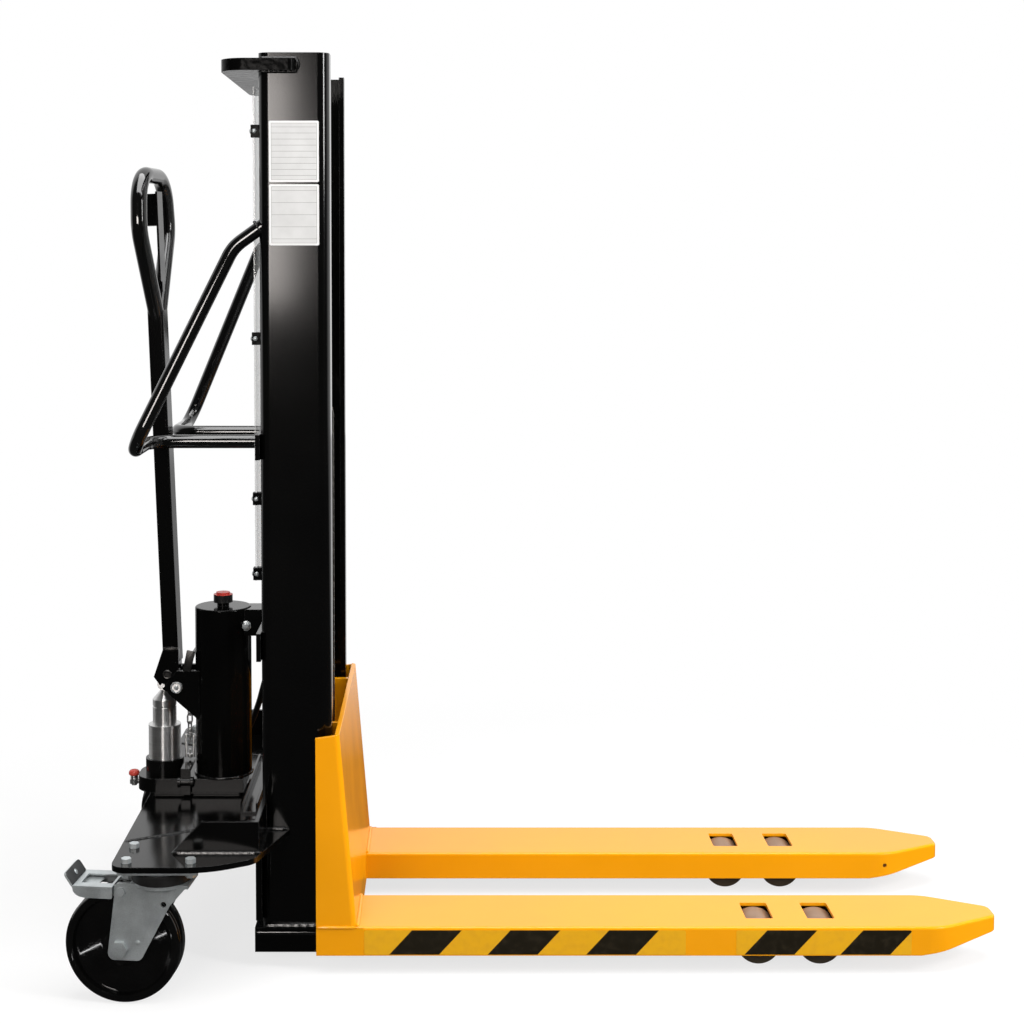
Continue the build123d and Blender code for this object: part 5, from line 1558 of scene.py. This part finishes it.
@dataclass(frozen=True)
class CarriageTrim(Assembly):
    """Heel cheeks that run each fork's side under the carriage, and the beads at the heels."""

    heel_length: float = 0.0840
    heel_gap: float = 0.0003
    cheek_thick: float = 0.0005
    cheek_rise: float = 0.0505
    seam_bead: Pair = (0.0030, 0.0080)
    seam_ends: Pair = (0.002, 0.001)
    heel_bead: Pair = (0.0042, 0.0080)
    heel_out: float = 0.0012
    heel_rise: float = 0.0008
    heel_in: float = 0.003

    def build(self) -> None:
        """Makes the cheeks and the beads."""
        cheeks, beads = Piece("fork_heel_cheeks"), Piece("fork_heel_welds")
        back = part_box("carriage_plate")[0][0]
        for side in Side:
            low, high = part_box(f"fork_{side.label}")
            outer, inner = side.faces(low, high)
            top = low[2] + self.cheek_rise
            under, over = sorted((outer, outer + side.value * self.cheek_thick))
            cheeks.slab((back + self.heel_gap, under, low[2]), (back + self.heel_length, over, top))
            face = outer + side.value * self.heel_gap
            seam = [Vector((x, face, top)) for x in (back + self.seam_ends[0], low[0] + self.seam_ends[1])]
            beads.bead(seam, *self.seam_bead)
            inset = side.value * self.heel_in
            heel = [Vector((low[0] + self.heel_out, y, high[2] + self.heel_rise))
                    for y in (outer - inset, inner + inset)]
            beads.bead(heel, *self.heel_bead)
        self.finish(cheeks, Body.CARRIAGE, "yellow_paint")
        self.finish(beads, Body.CARRIAGE, "yellow_paint")


@dataclass(frozen=True)
class Softbox:
    """One rectangular soft light."""

    name: str
    place: Point
    target: Point
    width: float
    height: float
    radiance: float
    colour: Colour = (1.0, 1.0, 1.0)
    mirrored: bool = True

    def hang(self) -> None:
        """Adds the light to the scene."""
        lamp = bpy.data.lights.new(self.name, "AREA")
        lamp.shape = "RECTANGLE"
        lamp.size = self.width
        lamp.size_y = self.height
        lamp.energy = self.radiance * math.pi * self.width * self.height
        lamp.color = self.colour
        holder = bpy.data.objects.new(self.name, lamp)
        holder.location = self.place
        aim = Vector(self.target) - Vector(self.place)
        holder.rotation_euler = aim.to_track_quat("-Z", "Y").to_euler()
        holder.visible_camera = False
        holder.visible_glossy = self.mirrored
        bpy.context.scene.collection.objects.link(holder)


@dataclass(frozen=True)
class Studio:
    """White backdrop, pale floor and soft light, with the camera level at the right-hand side."""

    fill: float = 0.30
    backdrop: float = 1.0
    backdrop_from: Pair = (-0.05, 0.3)
    gloom: float = 0.04
    floor_radius: float = 9.0
    floor_drop: float = 0.0004
    floor_cloud: float = 3.0
    floor_tone: Pair = (0.90, 0.94)
    floor_unseen: float = 0.25
    sheen: float = 0.60
    sheen_reach: Pair = (1.1, 2.2)
    shadow_share: float = 0.26
    fade: Pair = (0.8, 1.7)
    glints: tuple[tuple[Pair, Pair], ...] = (
        ((-0.876, -0.556), (-0.856, -0.614)), ((-0.768, -0.658), (-0.755, -0.691)),
    )
    glint_half: float = 0.0014
    glint: float = 26.0
    camera_place: Point = (-0.1641, -3.3073, 1.2699)
    camera_pitch: float = 3.068
    camera_lens: float = 61.726
    camera_shift: Pair = (0.0615, -0.160)
    softboxes: tuple[Softbox, ...] = (
        Softbox("key", (-1.05, -3.16, 1.525), (0.15, -1.56, 1.525), 0.8, 0.85, 13.0, (1.0, 0.94, 0.90)),
        Softbox("key_spill", (-1.93, -2.5, 1.525), (-0.73, -0.9, 1.525), 3.0, 0.85, 3.6, (1.0, 0.97, 0.94),
                mirrored=False),
        Softbox("strip", (2.26, -1.67, 2.10), (-0.45, -0.17, 2.10), 0.42, 1.1, 26.0),
        Softbox("overhead", (0.1, -0.5, 3.0), (0.1, -0.1, 0.0), 2.6, 2.2, 5.0),
        Softbox("side_fill", (3.0, -0.9, 1.5), (-0.2, 0.0, 0.3), 2.0, 2.0, 6.0, mirrored=False),
    )

    def build(self) -> None:
        """Sets up the world, the floor, the lights and the camera."""
        bpy.context.scene.view_settings.view_transform = "Standard"
        self.world()
        self.floor()
        for softbox in self.softboxes:
            softbox.hang()
        self.camera()

    def camera(self) -> None:
        """Adds the camera and makes it the scene's own."""
        lens = bpy.data.cameras.new("camera")
        lens.sensor_width = 36.0
        lens.lens = self.camera_lens
        lens.shift_x, lens.shift_y = self.camera_shift
        lens.clip_end = 60.0
        holder = bpy.data.objects.new("camera", lens)
        holder.location = self.camera_place
        holder.rotation_euler = (math.radians(90 - self.camera_pitch), 0.0, 0.0)
        bpy.context.scene.collection.objects.link(holder)
        bpy.context.scene.camera = holder

    def world(self) -> None:
        """White to the camera and through glass, a bright backdrop in gloss, soft fill otherwise."""
        world = bpy.data.worlds.new("studio")
        world.use_nodes = True
        bpy.context.scene.world = world
        nodes = Nodes(world.node_tree)
        _, depth, _ = nodes.axes(nodes.node("TexCoord").outputs["Generated"])
        behind = nodes.range(depth, *self.backdrop_from, self.gloom, self.backdrop)
        seen, glossy = nodes.rays()
        background = nodes.tree.nodes["Background"].inputs
        nodes.feed(background["Color"], grey(1.0))
        nodes.feed(background["Strength"], nodes.blend(seen, nodes.blend(glossy, self.fill, behind), 1.0))

    def gleam(self, shader: Shader) -> Socket:
        """Thin bright lines on the floor before the near castor, for gloss only.

        Args:
            shader: the floor's shader.

        Returns:
            The lines' strength, 0 beside them.
        """
        lines = []
        for start, end in self.glints:
            (x0, y0), (x1, y1) = start, end
            centre = ((x0 + x1) / 2, (y0 + y1) / 2, 0)
            along, across, _ = shader.axes(shader.spot(turn=math.atan2(y1 - y0, x1 - x0), centre=centre))
            within = shader.near(along, math.dist(start, end) / 2)
            lines.append(shader.math("MULTIPLY", within, shader.near(across, self.glint_half)))
        return shader.math("MULTIPLY", shader.math("ADD", *lines), self.glint)

    def floor(self) -> None:
        """A round pale floor that keeps the stacker's shadow and fades into the backdrop."""
        mesh = bmesh.new()
        bmesh.ops.create_circle(mesh, cap_ends=True, segments=64, radius=self.floor_radius,
                                matrix=Matrix.Translation((0, 0, -self.floor_drop)))
        data = bpy.data.meshes.new("floor")
        mesh.to_mesh(data)
        mesh.free()
        data.materials.append(self.floor_material())
        floor = bpy.data.objects.new("floor", data)
        bpy.context.scene.collection.objects.link(floor)

    def floor_material(self) -> bpy.types.Material:
        """Pale with a soft shadow to the camera, dim with a far sheen in gloss, grey to other light.

        Returns:
            The material.
        """
        shader = Shader("pale_floor")
        spot = shader.spot()
        seen, glossy = shader.rays()
        far = shader.node("VectorMath", {0: spot}, operation="LENGTH").outputs["Value"]
        share = shader.range(far, *self.fade, 1 - self.shadow_share, 1.0)
        speckle = shader.range(shader.noise(spot, self.floor_cloud), 0.3, 0.7, *self.floor_tone)
        pale = shader.node("BsdfDiffuse", {"Color": speckle})
        unseen = shader.node("BsdfDiffuse", {"Color": grey(self.floor_unseen)})
        glow = shader.node("Emission", {"Color": grey(1.0), "Strength": 1.0})
        _, depth, _ = shader.axes(spot)
        sheen = shader.range(depth, *self.sheen_reach, self.gloom, self.sheen)
        gleam = shader.math("MAXIMUM", sheen, self.gleam(shader))
        mirrored = shader.node("Emission", {"Color": grey(1.0), "Strength": gleam})
        hidden = shader.either(glossy, unseen, mirrored)
        shown = shader.either(seen, hidden, shader.either(share, pale, glow))
        shader.feed(shader.tree.nodes["Material Output"].inputs["Surface"], shown.outputs[0])
        shader.tree.nodes.remove(shader.surface)
        return shader.material


def main() -> None:
    """Loads the frame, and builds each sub-assembly and the studio in order."""
    logging.basicConfig(level=logging.INFO, format="%(name)s %(message)s")
    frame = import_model()
    finishes = Finishes()
    finishes.dress(frame)
    for assembly in (HazardTapes, LiftChains, Castors, ReleaseRun, MastTrim, DeckTrim, PumpTrim,
                     CarriageTrim):
        assembly(frame, finishes).build()
    Studio().build()


if __name__ == "__main__":
    main()
